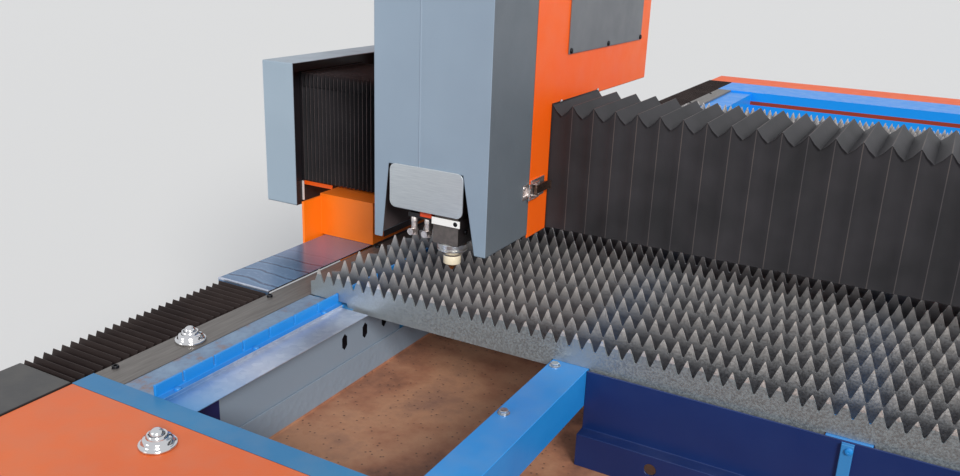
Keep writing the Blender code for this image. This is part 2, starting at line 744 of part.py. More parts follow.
def build_slat_table(steel, blue, pale, grey):
    """The toothed slats in their combs, the empty front combs, and the plates and strips beside them."""
    slat_low = BED_TOP + SEAT
    pitch = 2 * SLAT_HALF_LENGTH / SLAT_TEETH
    bm = bmesh.new()
    for k in range(SLAT_COUNT):
        y = FIRST_SLAT_Y + SLAT_PITCH * k
        tips = [(-SLAT_HALF_LENGTH + pitch * (i + 0.5), BED_TOP + SLAT_TIP) for i in range(SLAT_TEETH)]
        valleys = [(-SLAT_HALF_LENGTH + pitch * i, BED_TOP + SLAT_VALLEY) for i in range(SLAT_TEETH + 1)]
        crest = [valleys[0]] + [point for pair in zip(tips, valleys[1:]) for point in pair]
        if k % 2:
            crest = [
                (x, BED_TOP + SLAT_TIP + SLAT_VALLEY - (z - BED_TOP)) if 0 < i < len(crest) - 1 else (x, z)
                for i, (x, z) in enumerate(crest)
            ]
        outline = [(-SLAT_HALF_LENGTH, slat_low), *crest, (SLAT_HALF_LENGTH, slat_low)]
        prism(bm, outline, "Y", y - SLAT_THICKNESS / 2, y + SLAT_THICKNESS / 2)
    slats = piece("slat_table", bm, steel)
    comb_low, comb_high = LEDGE_Z + SEAT, BED_TOP + COMB_RISE
    weld_blocks(
        slats,
        [
            (
                (sided(COMB_X - COMB_SHEET, COMB_X, side)[0], FIRST_SLAT_Y - SLAT_THICKNESS, comb_low),
                (sided(COMB_X - COMB_SHEET, COMB_X, side)[1], LAST_SLAT_Y + SLAT_THICKNESS, comb_high),
            )
            for _, side in SIDES
        ],
    )
    comb_front, comb_rear = WELL_FRONT + SEAT, FIRST_SLAT_Y - SLAT_THICKNESS - SEAT
    cut_count = int((comb_rear - comb_front) / SLAT_PITCH)
    cuts = [FIRST_SLAT_Y - SLAT_PITCH * (k + 1) for k in reversed(range(cut_count))]
    for word, side in SIDES:
        bm = bmesh.new()
        crest = []
        for y in cuts:
            near, far = y - COMB_CUT_WIDTH / 2, y + COMB_CUT_WIDTH / 2
            low = comb_high - COMB_CUT_DEPTH
            crest += [(near, comb_high), (near, low), (far, low), (far, comb_high)]
        outline = [(comb_front, comb_low), (comb_front, comb_high), *crest]
        outline += [(comb_rear, comb_high), (comb_rear, comb_low)]
        prism(bm, outline, "X", *sided(COMB_X - COMB_SHEET, COMB_X, side))
        comb = piece("slat_comb_" + word, bm, blue)
        foot_in, foot_out = sided(COMB_X - COMB_FOOT, COMB_X - COMB_SHEET / 2, side)
        weld_blocks(comb, [((foot_in, comb_front, comb_low), (foot_out, comb_rear, comb_low + COMB_SHEET))])
        lip_x = COMB_X - COMB_FOOT - SEAT
        plate_top = comb_low + DEFLECTOR_SHEET
        section = [
            (side * (lip_x - DEFLECTOR_WIDTH), comb_low),
            (side * lip_x, comb_low),
            (side * lip_x, BED_TOP),
            (side * (lip_x - DEFLECTOR_SHEET), BED_TOP),
            (side * (lip_x - DEFLECTOR_SHEET), plate_top),
            (side * (lip_x - DEFLECTOR_WIDTH), plate_top),
        ]
        bm = bmesh.new()
        prism(bm, section, "Y", comb_front, PARTITION_Y - PARTITION_SHEET - SEAT)
        piece("deflector_" + word, bm, pale)
        strip_out = LEDGE_X - STRIP_GAP
        x_low, x_high = sided(strip_out - STRIP_WIDTH, strip_out, side)
        bm = bmesh.new()
        block(bm, (x_low, WELL_FRONT + SEAT, LEDGE_Z + SEAT), (x_high, WELL_REAR - SEAT, BED_TOP))
        strip = piece("rail_strip_" + word, bm, grey)
        bm = bmesh.new()
        middle = side * (strip_out - STRIP_SLOT_INSET)
        wide, long = STRIP_SLOT_SIZE[0] / 2, STRIP_SLOT_SIZE[1] / 2
        for k in range(STRIP_SLOTS):
            y = WELL_FRONT + STRIP_SLOT_FIRST + STRIP_SLOT_PITCH * k
            slot = rounded_rectangle((middle - wide, y - long), (middle + wide, y + long), STRIP_SLOT_CORNER, 1)
            prism(bm, slot, "Z", LEDGE_Z - STRIP_GAP, BED_TOP + STRIP_GAP)
        combine(strip, bm, "DIFFERENCE")


def build_ball_units(chrome, steel):
    """Stepped round cups with a rolling ball, which carry a sheet while it is pushed on to the bed."""
    bore = BALL_RADIUS + RUNNING
    for word, (x, y) in (("strip", STRIP_BALL), ("cover", COVER_BALL)):
        base = BED_TOP + SEAT
        profile = [
            (CUP_RADIUS, base),
            (CUP_RADIUS, base + 0.22 * CUP_HEIGHT),
            (0.84 * CUP_RADIUS, base + 0.28 * CUP_HEIGHT),
            (0.77 * CUP_RADIUS, base + 0.66 * CUP_HEIGHT),
            (0.58 * CUP_RADIUS, base + 0.72 * CUP_HEIGHT),
            (0.52 * CUP_RADIUS, base + CUP_HEIGHT),
            (bore, base + CUP_HEIGHT),
            (bore, base + CUP_FLOOR),
        ]
        bm = bmesh.new()
        turned(bm, profile, (x, y), 16)
        piece("ball_cup_" + word, bm, chrome, smooth=True)
        centre = Vector((x, y, base + CUP_FLOOR + SEAT + BALL_RADIUS))
        bm = bmesh.new()
        bmesh.ops.create_icosphere(bm, subdivisions=2, radius=BALL_RADIUS)
        bmesh.ops.translate(bm, verts=bm.verts, vec=centre)
        piece("ball_" + word, bm, steel, pivot=centre, smooth=True)


def build_long_axis(steel, black):
    """Rails, racks and pleated covers in the two channels of the bed."""
    covers = (
        ("front", FRAME_FRONT, APRON_FRONT - SEAT, Y_BELLOWS_PLEATS_FRONT),
        ("rear", SADDLE_REAR + SEAT, FRAME_REAR, Y_BELLOWS_PLEATS_REAR),
    )
    for word, side in SIDES:
        bm = bmesh.new()
        prism(bm, rail_outline(side * RAIL_X, CHANNEL_Z + SEAT), "Y", FRAME_FRONT + RAIL_END_GAP, FRAME_REAR - RAIL_END_GAP)
        piece("y_rail_" + word, bm, steel)
        x_low, x_high = sided(RACK_X, RACK_X + RACK_SIZE, side)
        bm = bmesh.new()
        block(
            bm,
            (x_low, FRAME_FRONT + RAIL_END_GAP, CHANNEL_Z + SEAT),
            (x_high, FRAME_REAR - RAIL_END_GAP, CHANNEL_Z + SEAT + RACK_SIZE),
        )
        piece("y_rack_" + word, bm, steel)
        for place, start, end, pleats in covers:
            step = (end - start) / (2 * pleats)
            crest = [
                (start + step * i, BED_TOP + Y_BELLOWS_PEAK if i % 2 else BED_TOP - Y_BELLOWS_VALLEY)
                for i in range(2 * pleats + 1)
            ]
            outline = [(start, BED_TOP - Y_BELLOWS_BASE), *crest, (end, BED_TOP - Y_BELLOWS_BASE)]
            bm = bmesh.new()
            prism(bm, outline, "X", *sided(LEDGE_X + STRIP_GAP, SIDE_X + STRIP_GAP, side))
            piece(f"y_bellows_{place}_{word}", bm, black)


def pinion(bm, centre, low, shaft_top):
    """A small gear on its shaft."""
    root = 0.82
    outline = []
    for k in range(PINION_TEETH):
        for share, radius in ((0.0, root), (0.3, 1.0), (0.55, 1.0), (0.85, root)):
            angle = 2 * math.pi * (k + share) / PINION_TEETH
            reach = PINION_RADIUS * radius
            outline.append((centre[0] + reach * math.cos(angle), centre[1] + reach * math.sin(angle)))
    prism(bm, outline, "Z", low, low + PINION_WIDTH)
    shaft = bmesh.new()
    shaft_profile = [(PINION_SHAFT_RADIUS, low + PINION_WIDTH / 2), (PINION_SHAFT_RADIUS, shaft_top)]
    turned(shaft, shaft_profile, centre, 12)
    return shaft


def motor(name, centre, base, size, length, material, group):
    """A servo motor: square flange and round-cornered body."""
    half = size / 2 - MOTOR_BODY_INSET
    bm = bmesh.new()
    body = rounded_rectangle(
        (centre[0] - half, centre[1] - half),
        (centre[0] + half, centre[1] + half),
        size * 0.12,
        2,
    )
    prism(bm, body, "Z", base + MOTOR_FLANGE / 2, base + length)
    obj = piece(name, bm, material, group)
    half = size / 2
    weld_blocks(
        obj,
        [
            (
                (centre[0] - half, centre[1] - half, base),
                (centre[0] + half, centre[1] + half, base + MOTOR_FLANGE),
            )
        ],
    )
    return obj


def build_gantry(group, orange, grey, black, steel, film):
    """Saddles, aprons, drives, beam, hoods, cross rails and the bellows round the beam."""
    beam = bmesh.new()
    hollow_bar(beam, "X", -BEAM_HALF, BEAM_HALF, (BEAM_FRONT, BEAM_LOW), (BEAM_REAR, BEAM_HIGH), BEAM_WALL)
    beam = piece("gantry_beam", beam, orange, group)
    flange_low = (X_BELLOWS_FRONT, X_BELLOWS_LOW)
    flange_high = (X_BELLOWS_REAR, X_BELLOWS_HIGH)
    hole_low = (BEAM_FRONT + BEAM_WALL / 2, BEAM_LOW + BEAM_WALL / 2)
    hole_high = (BEAM_REAR - BEAM_WALL / 2, BEAM_HIGH - BEAM_WALL / 2)
    bm = bmesh.new()
    for _, side in SIDES:
        start, end = sided(BEAM_FLANGE_X, BEAM_FLANGE_X + BEAM_FLANGE_SHEET, side)
        rings = []
        for along in (start, end):
            for low, high in ((flange_low, flange_high), (hole_low, hole_high)):
                corners = (low, (high[0], low[1]), high, (low[0], high[1]))
                rings.append([bm.verts.new(on_axis("X", along, corner)) for corner in corners])
        for i in range(4):
            j = (i + 1) % 4
            for a, b in ((0, 2), (1, 3), (0, 1), (2, 3)):
                bm.faces.new((rings[a][i], rings[a][j], rings[b][j], rings[b][i]))
    combine(beam, bm, "UNION")

    for word, side in SIDES:
        build_saddle(word, side, group, orange, film)
        base = SADDLE_TOP + SEAT
        motor("y_motor_" + word, (side * PINION_X, Y_MOTOR_Y), base, MOTOR_SIZE, MOTOR_LENGTH, black, group)
        bm = bmesh.new()
        low = CHANNEL_Z + PINION_LIFT
        shaft = pinion(bm, (side * PINION_X, Y_MOTOR_Y), low, SADDLE_TOP)
        gear = piece("y_pinion_" + word, bm, steel, group, pivot=(side * PINION_X, Y_MOTOR_Y, low))
        combine(gear, shaft, "UNION")

        inner, outer = side * HOOD_INNER, side * HOOD_OUTER
        low, high = BED_TOP + HOOD_BOTTOM, BED_TOP + HOOD_TOP
        bm = bmesh.new()
        corners = [(inner, HOOD_FRONT), (outer, HOOD_FRONT), (outer, HOOD_REAR), (inner, HOOD_REAR)]
        lower = [bm.verts.new((x, y, low)) for x, y in corners]
        upper = [bm.verts.new((x, y, high)) for x, y in corners]
        for i in range(3):
            bm.faces.new((lower[i], lower[i + 1], upper[i + 1], upper[i]))
        bm.faces.new(upper)
        folded("end_hood_" + word, bm, grey, HOOD_SHEET, group)

    for word, height in (("lower", X_RAIL_LOW), ("upper", X_RAIL_HIGH)):
        outline = [(y, z) for z, y in rail_outline(BEAM_LOW + height, BEAM_FRONT - SEAT, -1)]
        bm = bmesh.new()
        prism(bm, outline, "X", -X_RAIL_HALF_LENGTH, X_RAIL_HALF_LENGTH)
        piece("x_rail_" + word, bm, steel, group)
    bm = bmesh.new()
    block(
        bm,
        (-X_RAIL_HALF_LENGTH, X_RACK_FRONT, BEAM_HIGH + SEAT),
        (X_RAIL_HALF_LENGTH, X_RACK_FRONT + RACK_SIZE, BEAM_HIGH + SEAT + RACK_SIZE),
    )
    piece("x_rack", bm, steel, group)
    spans = (
        ("left", -BEAM_FLANGE_X + SEAT, CARRIAGE_LEFT - SEAT),
        ("right", CARRIAGE_RIGHT + SEAT, BEAM_FLANGE_X - SEAT),
    )
    for word, start, end in spans:
        piece("x_bellows_" + word, beam_bellows(start, end), black, group)


def build_saddle(word, side, group, orange, film):
    """A saddle on its two guide blocks, with the outer cheek, and the apron that covers the rail in front."""
    x_low, x_high = sided(LEDGE_X - STRIP_GAP, SADDLE_OUTER, side)
    bm = bmesh.new()
    block(bm, (x_low, SADDLE_FRONT, SADDLE_BOTTOM), (x_high, SADDLE_REAR, SADDLE_TOP))
    saddle = piece("saddle_" + word, bm, orange, group)
    cheek_in, cheek_out = sided(SADDLE_OUTER - WELD_SINK, SADDLE_OUTER + CHEEK_SHEET - WELD_SINK, side)
    weld_blocks(
        saddle,
        [
            (
                (cheek_in, SADDLE_FRONT - CHEEK_OVERHANG, BED_TOP + CHEEK_BOTTOM),
                (cheek_out, SADDLE_REAR - WELD_SINK / 2, BED_TOP + CHEEK_TOP),
            )
        ],
    )
    flange_in, flange_out = sided(LEDGE_X + STRIP_GAP, SIDE_X, side)
    weld_blocks(
        saddle,
        [
            (
                (flange_in, SADDLE_REAR - SADDLE_REAR_FLANGE, BED_TOP - APRON_FLANGE),
                (flange_out, SADDLE_REAR, SADDLE_BOTTOM + SADDLE_REAR_FLANGE),
            )
        ],
    )
    pad_in, pad_out = sided(LEDGE_X + PAD_INSET, SADDLE_OUTER - PAD_INSET, side)
    weld_blocks(
        saddle,
        [
            (
                (pad_in, BEAM_FRONT + BEAM_WALL, SADDLE_TOP - WELD_SINK),
                (pad_out, BEAM_REAR - BEAM_WALL, BEAM_LOW - SEAT),
            )
        ],
    )
    bm = bmesh.new()
    section = block_outline(side * RAIL_X, CHANNEL_Z + SEAT, SADDLE_BOTTOM + WELD_SINK)
    for start in (SADDLE_FRONT + BLOCK_END_GAP, Y_MOTOR_Y - BLOCK_MOTOR_GAP - BLOCK_LENGTH):
        prism(bm, section, "Y", start, start + BLOCK_LENGTH)
    combine(saddle, bm, "UNION")
    bm = bmesh.new()
    bore = [
        (PINION_SHAFT_RADIUS + PINION_BORE_GAP, SADDLE_BOTTOM - PINION_WIDTH),
        (PINION_SHAFT_RADIUS + PINION_BORE_GAP, SADDLE_TOP + PINION_WIDTH),
    ]
    turned(bm, bore, (side * PINION_X, Y_MOTOR_Y), 12)
    combine(saddle, bm, "DIFFERENCE")

    top = BED_TOP + SEAT + APRON_SHEET
    section = [
        (APRON_FRONT, top - APRON_FLANGE),
        (APRON_FRONT, top),
        (SADDLE_FRONT + APRON_TUCK, top),
        (SADDLE_FRONT + APRON_TUCK, top - APRON_SHEET),
        (APRON_FRONT + APRON_SHEET, top - APRON_SHEET),
        (APRON_FRONT + APRON_SHEET, top - APRON_FLANGE),
    ]
    bm = bmesh.new()
    prism(bm, section, "X", *sided(LEDGE_X + STRIP_GAP, APRON_OUTER, side))
    piece("saddle_apron_" + word, bm, film, group)


def beam_bellows(start, end):
    """A folded cover round three sides of the beam: rings that stand out and sink in by turns."""
    bm = bmesh.new()
    rings = []
    count = 2 * X_BELLOWS_FOLDS
    for i in range(count + 1):
        x = start + (end - start) * i / count
        sink = X_BELLOWS_DEPTH if i % 2 else 0
        front, rear = X_BELLOWS_FRONT + sink, X_BELLOWS_REAR - sink
        low, high = X_BELLOWS_LOW, X_BELLOWS_HIGH - sink
        skin = X_BELLOWS_SHEET
        outline = [
            (front, low),
            (front, high),
            (rear, high),
            (rear, low),
            (rear - skin, low),
            (rear - skin, high - skin),
            (front + skin, high - skin),
            (front + skin, low),
        ]
        rings.append([bm.verts.new((x, y, z)) for y, z in outline])
    for first, second in zip(rings, rings[1:]):
        for i in range(8):
            j = (i + 1) % 8
            bm.faces.new((first[i], first[j], second[j], second[i]))
    bm.faces.new(rings[0])
    bm.faces.new(rings[-1])
    return bm


def build_carriage(group, orange, grey, black, steel, panel_grey, bare):
    """The casting on the cross rails, its drive, the orange housing and the grey head cover."""
    left, right = CARRIAGE_X - CASTING_HALF, CARRIAGE_X + CASTING_HALF
    bm = bmesh.new()
    section = [
        (CASTING_FACE, CASTING_BOTTOM),
        (CASTING_FACE, HOUSING_BOTTOM),
        (CASTING_FACE + CASTING_TOP_DEPTH, HOUSING_BOTTOM),
        (CASTING_FACE + CASTING_TOP_DEPTH, HOUSING_BOTTOM - CASTING_TOP),
        (CASTING_BACK, HOUSING_BOTTOM - CASTING_TOP),
        (CASTING_BACK, CASTING_BOTTOM),
    ]
    prism(bm, section, "X", left, right)
    casting = piece("carriage_casting", bm, bare, group)
    for height in (X_RAIL_LOW, X_RAIL_HIGH):
        outline = block_outline(BEAM_LOW + height, BEAM_FRONT - SEAT, CASTING_BACK - WELD_SINK, -1)
        bm = bmesh.new()
        for start in (left + X_BLOCK_END_GAP, right - X_BLOCK_END_GAP - X_BLOCK_LENGTH):
            prism(bm, [(y, z) for z, y in outline], "X", start, start + X_BLOCK_LENGTH)
        combine(casting, bm, "UNION")
    half = Z_PLATE_WIDTH / 2
    weld_blocks(
        casting,
        [((HEAD_X - half, Z_PLATE_FACE, Z_PLATE_BOTTOM), (HEAD_X + half, CASTING_FACE + WELD_SINK, Z_PLATE_TOP))],
    )
    weld_blocks(
        casting,
        [
            (
                (HEAD_X + x - Z_RAIL_WIDTH / 2, Z_RAIL_FACE, Z_RAIL_BOTTOM),
                (HEAD_X + x + Z_RAIL_WIDTH / 2, Z_PLATE_FACE + WELD_SINK, Z_PLATE_TOP - Z_SHELF - WELD_SINK),
            )
            for x in (-Z_RAIL_SPACING / 2, Z_RAIL_SPACING / 2)
        ],
    )
    weld_blocks(
        casting,
        [
            (
                (HEAD_X - half, Z_PLATE_FACE - Z_SHELF_REACH, Z_PLATE_TOP - Z_SHELF),
                (HEAD_X + half, Z_PLATE_FACE + 2 * WELD_SINK, Z_PLATE_TOP - RUNNING),
            ),
            (
                (HEAD_X - Z_BEARING_HALF, Z_SCREW_Y - Z_SCREW_REACH, Z_BEARING_TOP - Z_SHELF),
                (HEAD_X + Z_BEARING_HALF, Z_PLATE_FACE + 2 * WELD_SINK, Z_BEARING_TOP),
            ),
        ],
    )
    bm = bmesh.new()
    bore = PINION_SHAFT_RADIUS + PINION_BORE_GAP / 2
    deep = 2 * CASTING_TOP
    turned(bm, [(bore, HOUSING_BOTTOM - deep), (bore, HOUSING_BOTTOM + deep)], (CARRIAGE_X, X_PINION_Y), 12)
    bore = Z_SCREW_RADIUS + 2 * RUNNING
    turned(bm, [(bore, Z_PLATE_TOP - 2 * Z_SHELF), (bore, Z_PLATE_TOP + Z_SHELF)], (HEAD_X, Z_SCREW_Y), 12)
    combine(casting, bm, "DIFFERENCE")

    base = HOUSING_BOTTOM + SEAT
    motor("x_motor", (CARRIAGE_X, X_PINION_Y), base, MOTOR_SIZE, MOTOR_LENGTH, black, group)
    bm = bmesh.new()
    low = BEAM_HIGH + X_PINION_LIFT
    shaft = pinion(bm, (CARRIAGE_X, X_PINION_Y), low, HOUSING_BOTTOM)
    gear = piece("x_pinion", bm, steel, group, pivot=(CARRIAGE_X, X_PINION_Y, low))
    combine(gear, shaft, "UNION")
    base = Z_PLATE_TOP + SEAT
    motor("z_motor", (HEAD_X, Z_SCREW_Y), base, Z_MOTOR_SIZE, Z_MOTOR_LENGTH, black, group)
    bm = bmesh.new()
    screw_low = Z_BEARING_TOP + SEAT
    turned(bm, [(Z_SCREW_RADIUS, screw_low), (Z_SCREW_RADIUS, Z_PLATE_TOP)], (HEAD_X, Z_SCREW_Y), 12)
    piece("z_screw", bm, steel, group, pivot=(HEAD_X, Z_SCREW_Y, screw_low), smooth=True)

    bm = bmesh.new()
    outline = [
        (HOUSING_FRONT, HOUSING_LEG_BOTTOM),
        (HOUSING_LEG_REAR, HOUSING_LEG_BOTTOM),
        (HOUSING_LEG_REAR, HOUSING_BOTTOM),
        (HOUSING_REAR, HOUSING_BOTTOM),
        (HOUSING_REAR, HOUSING_TOP),
        (HOUSING_FRONT, HOUSING_TOP),
    ]
    walls = [[bm.verts.new((x, y, z)) for y, z in outline] for x in (CARRIAGE_LEFT, CARRIAGE_RIGHT)]
    bm.faces.new(walls[0])
    bm.faces.new(walls[1])
    for i in (3, 4):
        bm.faces.new((walls[0][i], walls[0][i + 1], walls[1][i + 1], walls[1][i]))
    folded("carriage_housing", bm, orange, HOUSING_SHEET, group)
    bm = bmesh.new()
    block(
        bm,
        (CARRIAGE_RIGHT + SEAT, HOUSING_FRONT + PANEL_INSET, PANEL_BOTTOM),
        (CARRIAGE_RIGHT + SEAT + PANEL_SHEET, HOUSING_FRONT + PANEL_INSET + PANEL_LENGTH, PANEL_TOP),
    )
    piece("access_panel", bm, panel_grey, group)

    bm = bmesh.new()
    low, high, rear = HEAD_COVER_BOTTOM, HOUSING_TOP, HOUSING_FRONT - SEAT
    front = [
        (CARRIAGE_LEFT, low),
        (CARRIAGE_X + NOTCH_BOTTOM[0], low),
        (CARRIAGE_X + NOTCH_TOP_EDGE[0], NOTCH_TOP),
        (CARRIAGE_X + NOTCH_TOP_EDGE[1], NOTCH_TOP),
        (CARRIAGE_X + NOTCH_BOTTOM[1], low),
        (CARRIAGE_RIGHT, low),
        (CARRIAGE_RIGHT, high),
        (CARRIAGE_LEFT, high),
    ]
    face = [bm.verts.new((x, COVER_FRONT, z)) for x, z in front]
    back = {
        i: bm.verts.new((front[i][0], rear, front[i][1]))
        for i in (0, 5, 6, 7)
    }
    bm.faces.new(face)
    bm.faces.new((face[5], back[5], back[6], face[6]))
    bm.faces.new((face[6], back[6], back[7], face[7]))
    bm.faces.new((face[7], back[7], back[0], face[0]))
    cover = folded("head_cover", bm, grey, HEAD_COVER_SHEET, group)
    bail_front = LATCH_PIVOT_Y + BAIL_PIVOT - BAIL_REACH
    keeper_front = bail_front + BAIL_WIRE / 2 + SEAT
    weld_blocks(
        cover,
        [
            (
                (CARRIAGE_RIGHT - HEAD_COVER_SHEET / 2, keeper_front, LATCH_Z - KEEPER_WIDTH / 2),
                (LATCH_PIVOT_X + BAIL_WIRE / 2, keeper_front + KEEPER_THICKNESS, LATCH_Z + KEEPER_WIDTH / 2),
            )
        ],
    )
    bm = bmesh.new()
    half, middle = SHIELD_WIDTH / 2, CARRIAGE_X + SHIELD_OFFSET
    outline = rounded_rectangle(
        (middle - half, SHIELD_BOTTOM), (middle + half, SHIELD_BOTTOM + SHIELD_HEIGHT), SHIELD_CORNER, 4
    )
    prism(bm, outline, "Y", COVER_FRONT - SEAT - SHIELD_SHEET, COVER_FRONT - SEAT)
    piece("shield_plate", bm, bare, group)


def build_latch(group, chrome):
    """Toggle latch: base with two ears, a lever between them, and a wire bail that hooks the keeper."""
    face = CARRIAGE_RIGHT + SEAT
    ear_z = EAR_SPAN / 2
    bm = bmesh.new()
    base_front = LATCH_PIVOT_Y - LATCH_BASE_LEAD
    block(
        bm,
        (face, base_front, LATCH_Z - LATCH_BASE_HEIGHT / 2),
        (face + LATCH_BASE_SHEET, base_front + LATCH_BASE_LENGTH, LATCH_Z + LATCH_BASE_HEIGHT / 2),
    )
    base = piece("latch_base", bm, chrome, group)
    ears = [
        (
            (face + LATCH_BASE_SHEET / 2, LATCH_PIVOT_Y - EAR_LENGTH / 2, LATCH_Z + z),
            (LATCH_PIVOT_X + EAR_REACH, LATCH_PIVOT_Y + EAR_LENGTH / 2, LATCH_Z + z + EAR_THICKNESS),
        )
        for z in (ear_z, -ear_z - EAR_THICKNESS)
    ]
    weld_blocks(base, ears)

    pivot = (LATCH_PIVOT_X, LATCH_PIVOT_Y, LATCH_Z)
    barrel = ear_z - RUNNING
    bm = bmesh.new()
    turned(
        bm,
        [(LEVER_BARREL_RADIUS, LATCH_Z - barrel), (LEVER_BARREL_RADIUS, LATCH_Z + barrel)],
        (LATCH_PIVOT_X, LATCH_PIVOT_Y),
        12,
    )
    lever = piece("latch_lever", bm, chrome, group, pivot=pivot)
    half = LEVER_WIDTH / 2
    bm = bmesh.new()
    thick = LEVER_THICKNESS / 2
    grip = [
        (LATCH_PIVOT_X - thick, LATCH_PIVOT_Y),
        (LATCH_PIVOT_X + thick, LATCH_PIVOT_Y),
        (LATCH_PIVOT_X + thick, LATCH_PIVOT_Y + LEVER_LENGTH - LEVER_LIP),
        (LATCH_PIVOT_X + thick + LEVER_LIP / 2, LATCH_PIVOT_Y + LEVER_LENGTH),
        (LATCH_PIVOT_X + thick + LEVER_LIP / 4, LATCH_PIVOT_Y + LEVER_LENGTH),
        (LATCH_PIVOT_X - thick, LATCH_PIVOT_Y + LEVER_LENGTH - 0.75 * LEVER_LIP),
    ]
    prism(bm, grip, "Z", LATCH_Z - half, LATCH_Z + half)
    combine(lever, bm, "UNION")

    hinge_y = LATCH_PIVOT_Y + BAIL_PIVOT
    wire, span = BAIL_WIRE / 2, BAIL_SPAN / 2
    bm = bmesh.new()
    outline = [
        (hinge_y + wire, LATCH_Z + half + RUNNING),
        (hinge_y + wire, LATCH_Z + span + wire),
        (hinge_y - BAIL_REACH - wire, LATCH_Z + span + wire),
        (hinge_y - BAIL_REACH - wire, LATCH_Z - span - wire),
        (hinge_y + wire, LATCH_Z - span - wire),
        (hinge_y + wire, LATCH_Z - half - RUNNING),
        (hinge_y - wire, LATCH_Z - half - RUNNING),
        (hinge_y - wire, LATCH_Z - span + wire),
        (hinge_y - BAIL_REACH + wire, LATCH_Z - span + wire),
        (hinge_y - BAIL_REACH + wire, LATCH_Z + span - wire),
        (hinge_y - wire, LATCH_Z + span - wire),
        (hinge_y - wire, LATCH_Z + half + RUNNING),
    ]
    prism(bm, outline, "X", LATCH_PIVOT_X - wire, LATCH_PIVOT_X + wire)
    piece("latch_bail", bm, chrome, group, pivot=(LATCH_PIVOT_X, hinge_y, LATCH_Z))


def build_head(group, bare, black, silver):
    """The head's slide with its arm, the cutting head and its nozzle."""
    half, rail, groove = Z_PLATE_WIDTH / 2, Z_RAIL_SPACING / 2, Z_RAIL_WIDTH / 2 + RUNNING
    front = Z_RAIL_FACE - RUNNING - Z_SLIDE_THICKNESS
    deep, recess = Z_RAIL_FACE - RUNNING, 0.020
    right = [
        (half, front),
        (half, Z_SLIDE_REAR),
        (rail + groove, Z_SLIDE_REAR),
        (rail + groove, deep),
        (rail - groove, deep),
        (rail - groove, Z_SLIDE_REAR),
        (recess, Z_SLIDE_REAR),
        (recess, front + Z_SLIDE_THICKNESS / 3),
    ]
    outline = [(HEAD_X + x, y) for x, y in right] + [(HEAD_X - x, y) for x, y in reversed(right)]
    bm = bmesh.new()
    prism(bm, outline, "Z", Z_SLIDE_BOTTOM, Z_SLIDE_BOTTOM + Z_SLIDE_LENGTH)
    slide = piece("z_slide", bm, bare, group)
    head_back = HEAD_Y + HEAD_BODY / 2 + SEAT
    weld_blocks(
        slide,
        [
            (
                (HEAD_X - ARM_WIDTH / 2, head_back, Z_SLIDE_BOTTOM + 0.02),
                (HEAD_X + ARM_WIDTH / 2, front + Z_SLIDE_THICKNESS / 4, Z_SLIDE_BOTTOM + 0.02 + ARM_HEIGHT),
            )
        ],
    )

    def square(width, depth, low, high):
        return ((HEAD_X - width / 2, HEAD_Y - depth / 2, low), (HEAD_X + width / 2, HEAD_Y + depth / 2, high))

    box_top = HEAD_BOX_BOTTOM + HEAD_BOX_HEIGHT
    collar_top = box_top + HEAD_COLLAR_HEIGHT
    bm = bmesh.new()
    block(bm, *square(HEAD_BODY, HEAD_BODY, box_top - 0.002, HEAD_BODY_TOP))
    head = piece("cutting_head", bm, black, group)
    weld_blocks(head, [square(HEAD_BOX, HEAD_BOX, HEAD_BOX_BOTTOM, box_top)])
    weld_blocks(head, [square(HEAD_COLLAR_WIDTH, HEAD_BOX + 0.002, box_top - 0.001, collar_top)])
    bm = bmesh.new()
    barrel = [(HEAD_BARREL_RADIUS, HEAD_BODY_TOP - 0.005), (HEAD_BARREL_RADIUS, HEAD_BARREL_TOP)]
    turned(bm, barrel, (HEAD_X, HEAD_Y), 16)
    combine(head, bm, "UNION")

    nozzle_top = HEAD_BOX_BOTTOM - SEAT
    profile = [
        (0, NOZZLE_TIP),
        (0.003, NOZZLE_TIP),
        (0.009, NOZZLE_TIP + 0.010),
        (0.017, NOZZLE_TIP + 0.011),
        (0.021, NOZZLE_TIP + 0.014),
        (0.021, NOZZLE_TIP + 0.028),
        (0.018, NOZZLE_TIP + 0.031),
        (0.024, NOZZLE_TIP + 0.033),
        (0.029, NOZZLE_TIP + 0.036),
        (0.029, nozzle_top),
        (0, nozzle_top),
    ]
    bm = bmesh.new()
    turned(bm, profile, (HEAD_X, HEAD_Y), 16)
    piece("nozzle", bm, silver, group, smooth=True)


clear_scene()
bpy.context.scene.unit_settings.scale_length = 1.0

ENAMEL_BLUE = finish("blue_enamel", 40, 132, 200, 0.45)
ENAMEL_ORANGE = finish("orange_enamel", 255, 100, 20, 0.40)
ENAMEL_GREY = finish("grey_powder_coat", 140, 160, 178, 0.50)
ENAMEL_NAVY = finish("navy_enamel", 30, 40, 90, 0.45)
PANEL_GREY = finish("panel_powder_coat", 110, 116, 118, 0.50)
BELLOWS_BLACK = finish("coated_bellows_cloth", 50, 50, 52, 0.65)
CAP_BLACK = finish("black_enamel", 28, 28, 30, 0.45)
MOTOR_BLACK = finish("motor_enamel", 30, 30, 32, 0.40)
RAW_STEEL = finish("raw_steel", 150, 150, 155, 0.45, 1.0)
GROUND_STEEL = finish("ground_steel", 175, 177, 180, 0.30, 1.0)
STRIP_STEEL = finish("dull_steel_strip", 115, 112, 110, 0.50, 1.0)
FILM_STEEL = finish("film_covered_steel", 85, 110, 150, 0.30, 0.5)
PALE_STEEL = finish("galvanised_plate", 200, 205, 215, 0.35, 1.0)
RUSTY_STEEL = finish("slag_stained_steel", 120, 90, 70, 0.75)
CHROME = finish("chrome", 215, 215, 218, 0.12, 1.0)
CAST_GREY = finish("machined_casting", 170, 173, 176, 0.45, 0.8)

